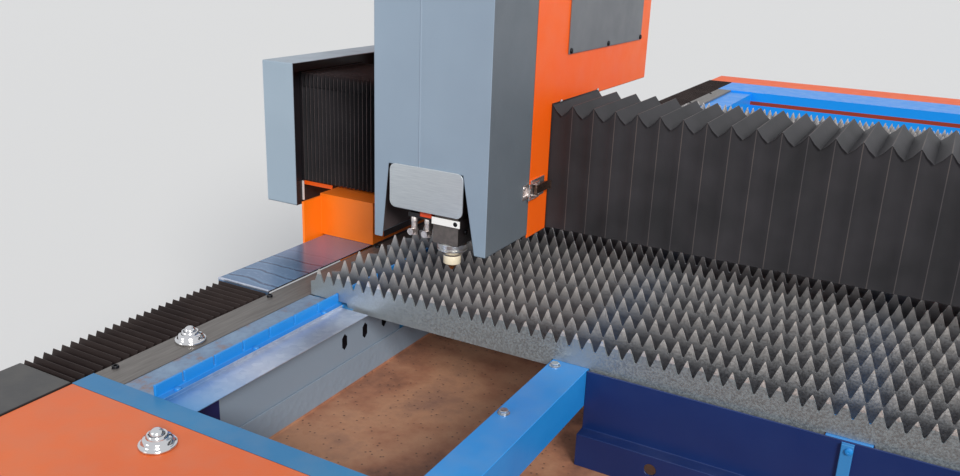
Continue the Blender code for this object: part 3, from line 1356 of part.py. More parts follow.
GANTRY = carrier("gantry_carrier", (0, SADDLE_FRONT, BED_TOP))
CARRIAGE = carrier("carriage_carrier", (CARRIAGE_X, CASTING_FACE, BEAM_LOW), GANTRY)
HEAD = carrier("head_carrier", (HEAD_X, HEAD_Y, NOZZLE_TIP), CARRIAGE)

build_bed_frame(ENAMEL_BLUE)
build_end_covers(ENAMEL_ORANGE, CAP_BLACK)
build_well(ENAMEL_BLUE, ENAMEL_NAVY, RUSTY_STEEL)
build_slat_table(RAW_STEEL, ENAMEL_BLUE, PALE_STEEL, STRIP_STEEL)
build_ball_units(CHROME, GROUND_STEEL)
build_long_axis(GROUND_STEEL, BELLOWS_BLACK)
build_gantry(GANTRY, ENAMEL_ORANGE, ENAMEL_GREY, BELLOWS_BLACK, GROUND_STEEL, FILM_STEEL)
build_carriage(CARRIAGE, ENAMEL_ORANGE, ENAMEL_GREY, MOTOR_BLACK, GROUND_STEEL, PANEL_GREY, CAST_GREY)
build_latch(CARRIAGE, CHROME)
build_head(HEAD, CAST_GREY, MOTOR_BLACK, CHROME)
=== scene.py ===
"""Looks of the fiber laser cutting machine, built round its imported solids.

Metres, +Z up, +X to the operator's right, +Y along the bed away from its front end.
"""

import math
import random

import bmesh
import bpy
from mathutils import Matrix, Vector


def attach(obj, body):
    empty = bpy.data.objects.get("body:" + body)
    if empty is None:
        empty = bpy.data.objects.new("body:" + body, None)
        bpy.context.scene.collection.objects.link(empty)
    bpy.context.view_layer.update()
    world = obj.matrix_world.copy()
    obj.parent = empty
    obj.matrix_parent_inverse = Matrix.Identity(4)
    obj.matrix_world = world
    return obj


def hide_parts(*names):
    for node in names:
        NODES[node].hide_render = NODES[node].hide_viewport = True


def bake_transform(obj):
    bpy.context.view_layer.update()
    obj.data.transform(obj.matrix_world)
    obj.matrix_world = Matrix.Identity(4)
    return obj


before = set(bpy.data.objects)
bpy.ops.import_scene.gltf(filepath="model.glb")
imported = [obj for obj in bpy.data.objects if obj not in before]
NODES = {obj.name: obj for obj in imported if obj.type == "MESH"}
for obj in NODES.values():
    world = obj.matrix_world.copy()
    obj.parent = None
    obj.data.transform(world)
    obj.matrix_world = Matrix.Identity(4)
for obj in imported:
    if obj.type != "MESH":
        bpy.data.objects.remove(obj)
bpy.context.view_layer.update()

# Camera: a wide lens beside the bed's front end, at eye height and tipped down on to the slats.
EYE = Vector((0.2665, -2.78525, 1.50))
EYE_RIGHT = Vector((0.87385, 0.48490, 0.03532))
EYE_DOWN = Vector((0.18249, -0.25978, -0.94828))
EYE_AHEAD = Vector((-0.45065, 0.83510, -0.31550))
lens = bpy.data.cameras.new("shop_camera")
lens.sensor_width = 36.0
lens.lens = 32.758
camera = bpy.data.objects.new("shop_camera", lens)
bpy.context.scene.collection.objects.link(camera)
turn = Matrix((EYE_RIGHT, -EYE_DOWN, -EYE_AHEAD)).transposed().to_4x4()
camera.matrix_world = Matrix.Translation(EYE) @ turn
bpy.context.scene.camera = camera
bpy.context.scene.view_settings.view_transform = "Standard"


# Floor and light: a plain pale workshop floor of sealed concrete, matt and even, a broad key light from
# the front right, a weak fill, and an even sky that also stands behind the machine.
def srgb(code):
    """The linear colour of an sRGB hex code."""
    channels = [int(code[i : i + 2], 16) / 255 for i in (1, 3, 5)]
    return [c / 12.92 if c <= 0.04045 else ((c + 0.055) / 1.055) ** 2.4 for c in channels] + [1.0]


def plug(tree, node, sockets):
    """Sets a node's sockets; one that is given another node's output is linked to it."""
    for key, value in sockets.items():
        if isinstance(value, bpy.types.NodeSocket):
            tree.links.new(value, node.inputs[key])
        else:
            node.inputs[key].default_value = value


def add(tree, kind, sockets=None, stops=None, **settings):
    """Adds a shader node with its settings, its sockets and the stops of its colour ramp."""
    node = tree.nodes.new("ShaderNode" + kind)
    for name, value in settings.items():
        setattr(node, name, value)
    plug(tree, node, sockets or {})
    if stops:
        for place, _ in stops[1:-1]:
            node.color_ramp.elements.new(place)
        for element, (place, code) in zip(node.color_ramp.elements, stops):
            element.position = place
            element.color = srgb(code)
    return node


floor_mesh = bpy.data.meshes.new("shop_floor")
FLOOR_HALF = 60.0
floor_corners = [(x * FLOOR_HALF, y * FLOOR_HALF, 0) for x, y in ((-1, -1), (1, -1), (1, 1), (-1, 1))]
floor_mesh.from_pydata(floor_corners, [], [(0, 1, 2, 3)])
floor = bpy.data.objects.new("shop_floor", floor_mesh)
bpy.context.scene.collection.objects.link(floor)
sealed_concrete = bpy.data.materials.new("sealed_concrete")
sealed_concrete.use_nodes = True
concrete_shader = sealed_concrete.node_tree.nodes["Principled BSDF"]
plug(sealed_concrete.node_tree, concrete_shader, {"Base Color": srgb("#E4E5E6"), "Roughness": 0.85})
floor_mesh.materials.append(sealed_concrete)

world = bpy.data.worlds.new("shop_sky")
world.use_nodes = True
bpy.context.scene.world = world
sky = world.node_tree
sky_light = sky.nodes["Background"]
plug(sky, sky_light, {"Color": srgb("#F4F8FF"), "Strength": 0.45})
path = add(sky, "LightPath")
seen = add(
    sky,
    "Math",
    {0: path.outputs["Is Camera Ray"], 1: path.outputs["Is Glossy Ray"]},
    operation="MAXIMUM",
)
seen = add(
    sky, "Math", {0: seen.outputs[0], 1: path.outputs["Is Transmission Ray"]}, operation="MAXIMUM"
)
backdrop = add(sky, "Background", {"Color": srgb("#EDEFF2"), "Strength": 0.95})
sky_choice = add(
    sky, "MixShader", {0: seen.outputs[0], 1: sky_light.outputs[0], 2: backdrop.outputs[0]}
)
sky.links.new(sky_choice.outputs[0], sky.nodes["World Output"].inputs["Surface"])

lamps = (("window_key", 2.8, (-0.66, 0.62, -0.50)), ("window_fill", 0.45, (0.45, 0.80, -0.40)))
for name, energy, travel in lamps:
    light = bpy.data.lights.new(name, "SUN")
    light.energy = energy
    light.angle = math.radians(20)
    light.color = srgb("#FFFBF4")[:3]
    lamp = bpy.data.objects.new(name, light)
    bpy.context.scene.collection.objects.link(lamp)
    lamp.rotation_mode = "QUATERNION"
    lamp.rotation_quaternion = Vector(travel).to_track_quat("-Z", "Y")


# Welded bed frame: rectangular steel tube and plate, welded, then sprayed with blue gloss enamel.
# The coat is smooth with a soft orange peel, a little uneven in tone, and dusty where it faces up.
def start_finish(name, metallic=0.0):
    """A new material with its node tree, its shader and the place on the piece in metres."""
    material = bpy.data.materials.new(name)
    material.use_nodes = True
    tree = material.node_tree
    shader = tree.nodes["Principled BSDF"]
    shader.inputs["Metallic"].default_value = metallic
    place = add(tree, "TexCoord").outputs["Object"]
    return material, tree, shader, place


def sprayed(name, colour, thin, gloss, peel_mm, dust):
    """A sprayed coat: cloudy between colour and thin, with peel bump, and dust on what faces up."""
    material, tree, shader, place = start_finish(name)
    cloud = add(tree, "TexNoise", {"Vector": place, "Scale": 1 / 0.30, "Detail": 4.0})
    tone = add(tree, "ValToRGB", {"Fac": cloud.outputs["Fac"]}, stops=[(0.38, colour), (0.68, thin)])
    up = add(tree, "NewGeometry").outputs["Normal"]
    facing = add(tree, "SeparateXYZ", {0: up}).outputs["Z"]
    patch = add(tree, "TexNoise", {"Vector": place, "Scale": 1 / 0.045, "Detail": 6.0})
    shelf = add(
        tree,
        "MapRange",
        {"Value": facing, "From Min": 0.6, "From Max": 1.0, "To Min": 0.0, "To Max": dust},
    )
    film = add(
        tree,
        "MapRange",
        {"Value": patch.outputs["Fac"], "From Min": 0.40, "From Max": 0.65, "To Min": 0.3, "To Max": 1.0},
    )
    amount = add(
        tree, "Math", {0: shelf.outputs["Result"], 1: film.outputs["Result"]}, operation="MULTIPLY"
    )
    settled = add(
        tree,
        "Mix",
        {0: amount.outputs[0], 6: tone.outputs["Color"], 7: srgb("#A9A49C")},
        data_type="RGBA",
    )
    rub = add(
        tree,
        "MapRange",
        {
            "Value": patch.outputs["Fac"],
            "From Min": 0.3,
            "From Max": 0.7,
            "To Min": gloss - 0.05,
            "To Max": gloss + 0.09,
        },
    )
    peel = add(tree, "TexNoise", {"Vector": place, "Scale": 1000 / peel_mm, "Detail": 2.0})
    bump = add(tree, "Bump", {"Height": peel.outputs["Fac"], "Strength": 0.25, "Distance": 0.0004})
    plug(tree, shader, {"Base Color": settled.outputs[2], "Roughness": rub.outputs["Result"]})
    tree.links.new(bump.outputs["Normal"], shader.inputs["Normal"])
    return material


def within(tree, **spans):
    """1 where the place on the piece lies inside every span.

    A span is named for its axis. A doubled letter drops the axis's sign, so left and right are alike.
    """
    spot = add(tree, "SeparateXYZ", {0: add(tree, "TexCoord").outputs["Object"]})
    inside = 1.0
    for axis, (low, high) in spans.items():
        value = spot.outputs[axis[0]]
        if len(axis) > 1:
            value = add(tree, "Math", {0: value}, operation="ABSOLUTE").outputs[0]
        band = {0: value, 1: (low + high) / 2, 2: (high - low) / 2}
        test = add(tree, "Math", band, operation="COMPARE").outputs[0]
        inside = add(tree, "Math", {0: test, 1: inside}, operation="MULTIPLY").outputs[0]
    return inside


def ramp(tree, axis, start, end, facing=False):
    """Rises from 0 to 1 along an axis or, with facing, as the surface turns to face that axis."""
    if facing:
        normal = add(tree, "NewGeometry").outputs["Normal"]
        part = add(tree, "SeparateXYZ", {0: normal}).outputs[axis]
        value = add(tree, "Math", {0: part}, operation="ABSOLUTE").outputs[0]
    else:
        place = add(tree, "TexCoord").outputs["Object"]
        value = add(tree, "SeparateXYZ", {0: place}).outputs[axis]
    span = {"Value": value, "From Min": start, "From Max": end}
    return add(tree, "MapRange", span).outputs["Result"]


def repaint(material, mask, code):
    """Lays another colour over a coat where the mask is 1."""
    tree = material.node_tree
    base = tree.nodes["Principled BSDF"].inputs["Base Color"]
    over = {0: mask, 6: base.links[0].from_socket, 7: srgb(code)}
    mixed = add(tree, "Mix", over, data_type="RGBA")
    tree.links.new(mixed.outputs[2], base)


def soften(piece, width):
    """Takes the sharpness off a piece's edges, as a bend or a file does."""
    soft = piece.modifiers.new("edge", "BEVEL")
    soft.width = width
    soft.segments = 2
    soft.limit_method = "ANGLE"
    soft.angle_limit = math.radians(38)
    soft.harden_normals = True


def dress(names, material, edge=0.0012, open_sided=False):
    """Gives solids that stay their finish and soft edges.

    A piece with an open side keeps its facets, so that the rim round the opening stays a rim.
    """
    for name in names:
        node = NODES[name]
        node.data.materials.clear()
        node.data.materials.append(material)
        if "custom_normal" in node.data.attributes:
            node.data.attributes.remove(node.data.attributes["custom_normal"])
        node.data.shade_smooth()
        node.modifiers.new("weld", "WELD").merge_threshold = 0.00001
        if not open_sided:
            flat = node.modifiers.new("flat", "DECIMATE")
            flat.decimate_type = "DISSOLVE"
            flat.angle_limit = math.radians(1)
        soften(node, edge)


BLUE_COAT = sprayed("blue_gloss_enamel", "#1F86D6", "#2E96E4", 0.33, 6.0, 0.12)
dress(["centre_tube_left", "centre_tube_right", "slat_comb_left", "slat_comb_right"], BLUE_COAT, 0.0015)

# On top the frame's blue is dull at the front and fresh at the far end. The front bay's walls stay in
# pale grey-blue primer, with navy painted shade in the near corner; a red-brown band low on the far bay's
# end wall is painted shade, and the air ports in the walls are painted dark inside as painted shade.
WELL_X = 0.6637
WELL_Y = (-2.00, 1.80)
WELL_TOP = 0.8415
AIR_PORT_X = (WELL_X, 0.6945)
WELL_PRIMER = "#8493A4"
FRAME_COAT = sprayed("blue_enamel_over_primer", "#2A7AB0", "#3688BC", 0.33, 6.0, 0.12)
tree = FRAME_COAT.node_tree
on_top = within(tree, XX=(-1, 0.8345), Z=(0.68, 0.90))
fresh = add(tree, "Math", {0: on_top, 1: ramp(tree, "Y", -1.30, 1.00)}, operation="MULTIPLY")
repaint(FRAME_COAT, fresh.outputs[0], "#1590F0")
front_bay = within(tree, XX=(-1, WELL_X), Y=(WELL_Y[0], -1.40), Z=(0.0, WELL_TOP))
repaint(FRAME_COAT, front_bay, WELL_PRIMER)
# Painted shade in the front bay's near corner.
bay_corner_shade = within(tree, XX=(-1, WELL_X), Y=(WELL_Y[0], -1.905), Z=(0.0, WELL_TOP))
repaint(FRAME_COAT, bay_corner_shade, "#1C2358")
# Painted shade low on the far bay's end wall.
far_wall_shade = within(tree, XX=(-1, WELL_X), Y=(1.78, WELL_Y[1]), Z=(0.787, 0.806))
repaint(FRAME_COAT, far_wall_shade, "#8E3A2C")
# Painted shade inside the air ports.
repaint(FRAME_COAT, within(tree, XX=AIR_PORT_X, Z=(0.75, 0.83)), "#151217")
plug(tree, tree.nodes["Principled BSDF"], {"Specular IOR Level": 0.24})
dress(["bed_frame"], FRAME_COAT, 0.0015)

# Weld beads: MIG fillets, painted over with the frame, where legs and ties meet the side beams.
BEAD_RADIUS = 0.0045
BEAD_RIPPLE = 0.006
LEG_X = 0.809
LEG_YS = [-1.9745, -0.642, 0.6905, 2.023]
LEG_HALF = (0.075, 0.060)
SIDE_BEAM_BOTTOM = 0.600
SILL_TOP = 0.220


def finish_piece(name, bm, material, body, edge=0.0):
    """A piece of its own, drawn in the machine's frame, that rides on one body."""
    bmesh.ops.recalc_face_normals(bm, faces=bm.faces)
    mesh = bpy.data.meshes.new(name)
    bm.to_mesh(mesh)
    bm.free()
    made = bpy.data.objects.new(name, mesh)
    bpy.context.scene.collection.objects.link(made)
    mesh.materials.append(material)
    mesh.shade_smooth()
    if edge:
        soften(made, edge)
    else:
        mesh.set_sharp_from_angle(angle=math.radians(35))
    if body:
        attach(made, body)
    return made


def weld_bead(bm, corners):
    """A rippled bead along straight runs between corners."""
    for start, end in zip(corners, corners[1:]):
        start, end = Vector(start), Vector(end)
        along = (end - start).normalized()
        aim = along.to_track_quat("Z", "Y").to_matrix()
        count = max(2, int((end - start).length / (BEAD_RIPPLE / 2)))
        rings = []
        for i in range(count + 1):
            middle = start + (end - start) * i / count
            radius = BEAD_RADIUS * (1.0 if i % 2 else 0.82)
            rings.append(
                [
                    bm.verts.new(middle + aim @ Vector((radius * math.cos(a), radius * math.sin(a), 0)))
                    for a in (math.radians(60 * k) for k in range(6))
                ]
            )
        for first, second in zip(rings, rings[1:]):
            for k in range(6):
                bm.faces.new((first[k], first[(k + 1) % 6], second[(k + 1) % 6], second[k]))
        bm.faces.new(rings[0])
        bm.faces.new(rings[-1])


bm = bmesh.new()
for side in (-1, 1):
    for leg_y in LEG_YS:
        for height in (SIDE_BEAM_BOTTOM, SILL_TOP):
            x, y = side * LEG_X, leg_y
            w, d = LEG_HALF
            ring = [(x - w, y - d), (x + w, y - d), (x + w, y + d), (x - w, y + d), (x - w, y - d)]
            weld_bead(bm, [(px, py, height) for px, py in ring])
finish_piece("leg_weld_beads", bm, BLUE_COAT, "bed")

# Levelling feet: hexagonal lock nuts, zinc plated, turned tight on the studs that screw into the legs.
NUT_BOTTOM = 0.040


def bare_metal(
    name, tones, rough, grain_mm=6.0, metallic=1.0, detail=3.0, spread=(0.35, 0.65), drawn=(1.0, 1.0, 1.0)
):
    """Metal with no paint on it, softly mottled between two tones.

    The grain runs out into lines along an axis whose share in drawn is small.
    """
    material, tree, shader, place = start_finish(name, metallic)
    drawn_place = add(tree, "Mapping", {"Vector": place, "Scale": drawn}).outputs[0]
    grain = add(tree, "TexNoise", {"Vector": drawn_place, "Scale": 1000 / grain_mm, "Detail": detail})
    tone = add(tree, "ValToRGB", {"Fac": grain.outputs["Fac"]}, stops=list(zip(spread, tones)))
    plug(tree, shader, {"Base Color": tone.outputs["Color"], "Roughness": rough})
    return material


def turned(bm, profile, place, facing=(0, 0, 1), sides=24, spin=0.0):
    """A profile of (radius, height) pairs turned round an axis that starts at place."""
    aim = Matrix.Translation(place) @ Vector(facing).to_track_quat("Z", "Y").to_matrix().to_4x4()
    rings = []
    for radius, height in profile:
        count = sides if radius > 0 else 1
        angles = [2 * math.pi * k / sides + spin for k in range(count)]
        points = [Vector((radius * math.cos(a), radius * math.sin(a), height)) for a in angles]
        rings.append([bm.verts.new(aim @ point) for point in points])
    for first, second in zip(rings, rings[1:]):
        for k in range(sides):
            corners = [first[k % len(first)], first[(k + 1) % len(first)]]
            corners += [second[(k + 1) % len(second)], second[k % len(second)]]
            bm.faces.new(list(dict.fromkeys(corners)))
    for ring in (rings[0], rings[-1]):
        if len(ring) > 1:
            bm.faces.new(ring)


# Zinc plate is cool and bright with a soft shine; black oxide is dark and only half matt.
ZINC_PLATE = bare_metal("bright_zinc_plate", ("#AEB3B9", "#D9DCE0"), 0.28)
BLACK_OXIDE = bare_metal("black_oxide_steel", ("#232326", "#3A3A3E"), 0.42)

bm = bmesh.new()
for side in (-1, 1):
    for leg_y in LEG_YS:
        nut = [(0.030, 0.0), (0.034, 0.002), (0.034, 0.016), (0.030, 0.019)]
        turned(bm, nut, (side * LEG_X, leg_y, NUT_BOTTOM), sides=6)
finish_piece("levelling_lock_nuts", bm, ZINC_PLATE, "bed")

# End covers: folded sheet-metal boxes in orange, screwed to the frame's ends.
# The powder coat is satin with a fine texture and takes dust on its top.
ORANGE_COAT = sprayed("orange_powder_coat", "#FF6206", "#FF6A10", 0.40, 3.0, 0.10)
FRONT_ORANGE = sprayed("front_cover_powder_coat", "#E2621A", "#E86A20", 0.38, 3.0, 0.14)
REAR_ORANGE = sprayed("rear_cover_powder_coat", "#EE5A10", "#F46214", 0.46, 3.0, 0.04)
tree = REAR_ORANGE.node_tree
plug(tree, tree.nodes["Principled BSDF"], {"Specular IOR Level": 0.24})
dress(["front_end_cover"], FRONT_ORANGE, 0.003, open_sided=True)
dress(["rear_end_cover"], REAR_ORANGE, 0.003, open_sided=True)

PAN_HEAD = [
    (0.0058, 0.0),
    (0.0058, 0.0014),
    (0.0050, 0.0030),
    (0.0030, 0.0038),
    (0.0012, 0.0039),
    (0.0, 0.0028),
]
COVER_SCREW_Z = (0.55, 0.80)
COVER_FACE_Y = 2.33
bm = bmesh.new()
for height in COVER_SCREW_Z:
    for k in range(6):
        turned(bm, PAN_HEAD, (-0.78 + 0.312 * k, -COVER_FACE_Y, height), (0, -1, 0), 12)
        turned(bm, PAN_HEAD, (-0.90 + 0.36 * k, COVER_FACE_Y, height), (0, 1, 0), 12)
finish_piece("end_cover_screws", bm, ZINC_PLATE, "bed")

# Rail channel end caps: pressed steel, pushed into the channels' ends and sprayed black.
# The enamel has a low shine and shows dust on top.
BLACK_COAT = sprayed("black_enamel_coat", "#202023", "#2A2A2D", 0.36, 4.0, 0.12)
dress(["rail_end_cap_left", "rail_end_cap_right"], BLACK_COAT, 0.002, open_sided=True)

# Slag trays: bare steel pans under the slats, scaled brown and grey by fallen slag.
# Their walls keep the pale primer that the well was sprayed with, so only the floor is brown.
PAN_FLOOR_TOP = 0.692
slag_pan, tree, shader, place = start_finish("slag_stained_steel")
scale_noise = add(
    tree, "TexNoise", {"Vector": place, "Scale": 1 / 0.16, "Detail": 7.0, "Roughness": 0.62}
)
scale_tone = add(
    tree,
    "ValToRGB",
    {"Fac": scale_noise.outputs["Fac"]},
    stops=[(0.30, "#6E4C40"), (0.45, "#A8745A"), (0.58, "#BC8B6D"), (0.74, "#956F5E")],
)
crumbs = add(tree, "TexVoronoi", {"Vector": place, "Scale": 1 / 0.013, "Randomness": 1.0})
crumb_mask = add(
    tree,
    "MapRange",
    {
        "Value": crumbs.outputs["Distance"],
        "From Min": 0.10,
        "From Max": 0.20,
        "To Min": 0.75,
        "To Max": 0.0,
    },
)
spotted = add(
    tree,
    "Mix",
    {0: crumb_mask.outputs["Result"], 6: scale_tone.outputs["Color"], 7: srgb("#4A3A34")},
    data_type="RGBA",
)
plug(tree, shader, {"Base Color": spotted.outputs[2]})
repaint(slag_pan, within(tree, Z=(PAN_FLOOR_TOP, 0.90)), WELL_PRIMER)
pan_bump = add(
    tree, "Bump", {"Height": crumbs.outputs["Distance"], "Strength": 0.35, "Distance": 0.002}
)
plug(tree, shader, {"Normal": pan_bump.outputs["Normal"], "Roughness": 0.62})
dress(["slag_tray_front", "slag_tray_rear"], slag_pan, 0.001)

# Partition of the front bay: a folded plate in navy enamel, with a pale blue strap bolted over it.
NAVY_COAT = sprayed("navy_gloss_enamel", "#122A60", "#18316C", 0.34, 6.0, 0.04)
strap = within(NAVY_COAT.node_tree, X=(0.2088, 0.2262), Y=(-1.580, -1.5662))
repaint(NAVY_COAT, strap, "#3A86C6")
dress(["partition_wall"], NAVY_COAT, 0.0012)

# Hex bolts with washers on the tube top, and a painted screw that holds the partition's strap.
WASHER = [(0.0095, 0.0), (0.0095, 0.0013), (0.0, 0.0013)]
HEX_HEAD = [(0.0072, 0.0013), (0.0075, 0.0018), (0.0075, 0.0055), (0.0068, 0.0062), (0.0, 0.0062)]
TUBE_BOLT_X = -0.2361
TUBE_BOLT_YS = (-1.7603, -1.5776)
TUBE_TOP = 0.850
STRAP_SCREW = (0.2205, -1.5720, 0.8380)
bm = bmesh.new()
for y in TUBE_BOLT_YS:
    turned(bm, WASHER, (TUBE_BOLT_X, y, TUBE_TOP), sides=20)
    turned(bm, HEX_HEAD, (TUBE_BOLT_X, y, TUBE_TOP), sides=6, spin=0.4)
finish_piece("tube_bolts", bm, ZINC_PLATE, "bed")
bm = bmesh.new()
turned(bm, PAN_HEAD, STRAP_SCREW, (0, -1, 0), 16)
finish_piece("strap_screw", bm, BLUE_COAT, "bed")

# Strip beside the rail: cold-rolled flat bar, screwed down beside the channel.
# It is bare and dull grey, with its drawing lines along the bed.
strip_steel, tree, shader, place = start_finish("cold_rolled_strip", 0.55)
lengthwise = add(tree, "Mapping", {"Vector": place, "Scale": (1.0, 0.06, 1.0)})
lines = add(tree, "TexNoise", {"Vector": lengthwise.outputs[0], "Scale": 1 / 0.004, "Detail": 4.0})
line_tone = add(
    tree, "ValToRGB", {"Fac": lines.outputs["Fac"]}, stops=[(0.30, "#6B6764"), (0.70, "#7F7B78")]
)
plug(tree, shader, {"Base Color": line_tone.outputs["Color"], "Roughness": 0.50})
line_bump = add(tree, "Bump", {"Height": lines.outputs["Fac"], "Strength": 0.12, "Distance": 0.0003})
plug(tree, shader, {"Normal": line_bump.outputs["Normal"]})
dress(["rail_strip_left", "rail_strip_right"], strip_steel, 0.0008)

# Socket cap screws that hold the strips, standing a little proud of their holes, in black oxide.
CAP_HEAD = [
    (0.0045, 0.0),
    (0.0045, 0.0050),
    (0.0040, 0.0055),
    (0.0026, 0.0055),
    (0.0026, 0.0030),
    (0.0, 0.0030),
]
SLOT_COUNT = 11
SLOT_FIRST_Y = -1.965
SLOT_PITCH = 0.3555
SLOT_X = 0.8215
STRIP_SCREW_Z = 0.8425
head = [(radius * 1.2, height * 2.1) for radius, height in CAP_HEAD]
bm = bmesh.new()
for side in (-1, 1):
    for k in range(SLOT_COUNT):
        y = SLOT_FIRST_Y + SLOT_PITCH * k
        turned(bm, head, (side * SLOT_X, y, STRIP_SCREW_Z), sides=16)
finish_piece("strip_cap_screws", bm, BLACK_OXIDE, "bed")

# Ledge plates between strip and comb: thin zinc-coated steel, blue-grey, and brown where slag has lain.
ledge_zinc, tree, shader, place = start_finish("stained_zinc_sheet", 0.35)
stain = add(tree, "TexNoise", {"Vector": place, "Scale": 1 / 0.05, "Detail": 8.0, "Roughness": 0.70})
stain_tone = add(
    tree,
    "ValToRGB",
    {"Fac": stain.outputs["Fac"]},
    stops=[(0.38, "#88A0BA"), (0.54, "#7A90AC"), (0.63, "#8A7E82"), (0.74, "#745C52")],
)
plug(tree, shader, {"Base Color": stain_tone.outputs["Color"], "Roughness": 0.48})
LEDGE_TOP = 0.842


def box(bm, low, high):
    """A box between two corners."""
    corners = [
        bm.verts.new((x, y, z))
        for z in (low[2], high[2])
        for x, y in ((low[0], low[1]), (high[0], low[1]), (high[0], high[1]), (low[0], high[1]))
    ]
    for face in ((3, 2, 1, 0), (4, 5, 6, 7), (0, 1, 5, 4), (1, 2, 6, 5), (2, 3, 7, 6), (3, 0, 4, 7)):
        bm.faces.new([corners[i] for i in face])


def mirrored_box(bm, across, along, up):
    """The same box on the right and on the left, from its spans in X, Y and Z."""
    for side in (-1, 1):
        inner, outer = sorted(side * x for x in across)
        box(bm, (inner, along[0], up[0]), (outer, along[1], up[1]))


bm = bmesh.new()
mirrored_box(bm, (0.7025, 0.7665), (-1.995, -1.5585), (LEDGE_TOP + 0.0001, LEDGE_TOP + 0.0070))
finish_piece("ledge_plates", bm, ledge_zinc, "bed")

# Deflectors beside the front bay: galvanised sheet with a folded lip, bright lavender grey with a faint
# spangle. Towards the bay's near end it is painted blue, a painted reflection of the blue frame.
deflector_zinc, tree, shader, place = start_finish("galvanised_sheet", 0.75)
spangle = add(tree, "TexVoronoi", {"Vector": place, "Scale": 1 / 0.011})
spangle_tone = add(
    tree, "ValToRGB", {"Fac": spangle.outputs["Color"]}, stops=[(0.10, "#B4BDD2"), (0.90, "#C8CFDF")]
)
plug(tree, shader, {"Base Color": spangle_tone.outputs["Color"], "Roughness": 0.30})
# Painted reflection of the blue frame near the bay's end.
repaint(deflector_zinc, ramp(tree, "Y", -1.84, -2.02), "#3F92D0")
dress(["deflector_left", "deflector_right"], deflector_zinc, 0.0008)

# Slats: 3 mm mild steel, laser cut into pointed teeth and dropped into slotted combs.
# The faces darken low down, partly from mill scale and slag and partly as painted shade between the
# slats;
# the tips are burnt bare and pale with spatter, and their cream is partly painted light from the sparks.
# The first slat is painted paler, without the painted shade, as nothing stands in front of it.
SLAT_COUNT = 40
SLAT_PITCH = 0.0642
SLAT_FIRST_Y = -1.555
SLAT_END_X = 0.764
SLAT_HALF = 0.0015
TOOTH_COUNT = 66
TIP_Z = 0.906
TIP_HALF = 0.0006
VALLEY_Z = 0.8797
ROOT_Z = VALLEY_Z + 0.0010
SHOULDER_Z = VALLEY_Z + 0.52 * (TIP_Z - VALLEY_Z)
END_Z = VALLEY_Z - 0.002
SLAT_LOW_Z = 0.8372
SLAT_EAR_Z = 0.8505
COMB_X = 0.702
EAR_X = COMB_X - 0.024
TUBE_GAP = (0.183, 0.252)
slat_steel, tree, shader, place = start_finish("laser_cut_mild_steel", 0.80)
height = add(tree, "SeparateXYZ", {0: place}).outputs["Z"]
# Darker low down: partly scale and slag, partly painted shade; the cream tips are partly painted light.
rise = add(tree, "MapRange", {"Value": height, "From Min": 0.864, "From Max": 0.908})
blotch = add(tree, "TexNoise", {"Vector": place, "Scale": 1 / 0.020, "Detail": 6.0, "Roughness": 0.65})
drift = add(tree, "Math", {0: blotch.outputs["Fac"], 1: 0.3, 2: -0.15}, operation="MULTIPLY_ADD")
burn_and_shade = add(tree, "Math", {0: rise.outputs["Result"], 1: drift.outputs[0]}, operation="ADD")
burn_and_shade_tone = add(
    tree,
    "ValToRGB",
    {"Fac": burn_and_shade.outputs[0]},
    stops=[(0.10, "#66686E"), (0.40, "#9A9CA0"), (0.65, "#C2C0C0"), (0.88, "#E6E2E0"), (1.0, "#E8DCD4")],
)
plug(tree, shader, {"Base Color": burn_and_shade_tone.outputs["Color"]})
# The first slat is painted paler, without the painted shade of the others.
unshaded_front_slat = within(tree, Y=(SLAT_FIRST_Y - 0.005, SLAT_FIRST_Y + 0.005), Z=(0.80, 0.896))
repaint(slat_steel, unshaded_front_slat, "#A2ABB0")
spatter = add(tree, "TexNoise", {"Vector": place, "Scale": 1 / 0.0035, "Detail": 3.0})
slat_rough = add(
    tree,
    "MapRange",
    {"Value": spatter.outputs["Fac"], "From Min": 0.35, "From Max": 0.65, "To Min": 0.38, "To Max": 0.62},
)
slat_bump = add(tree, "Bump", {"Height": spatter.outputs["Fac"], "Strength": 0.4, "Distance": 0.0005})
plug(tree, shader, {"Roughness": slat_rough.outputs["Result"], "Normal": slat_bump.outputs["Normal"]})


def cut_plate(bm, first, second):
    """A plate between two outlines that match point for point."""
    faces = [[bm.verts.new(point) for point in outline] for outline in (first, second)]
    bm.faces.new(faces[0])
    bm.faces.new(faces[1])
    for i in range(len(first)):
        j = (i + 1) % len(first)
        bm.faces.new((faces[0][i], faces[0][j], faces[1][j], faces[1][i]))


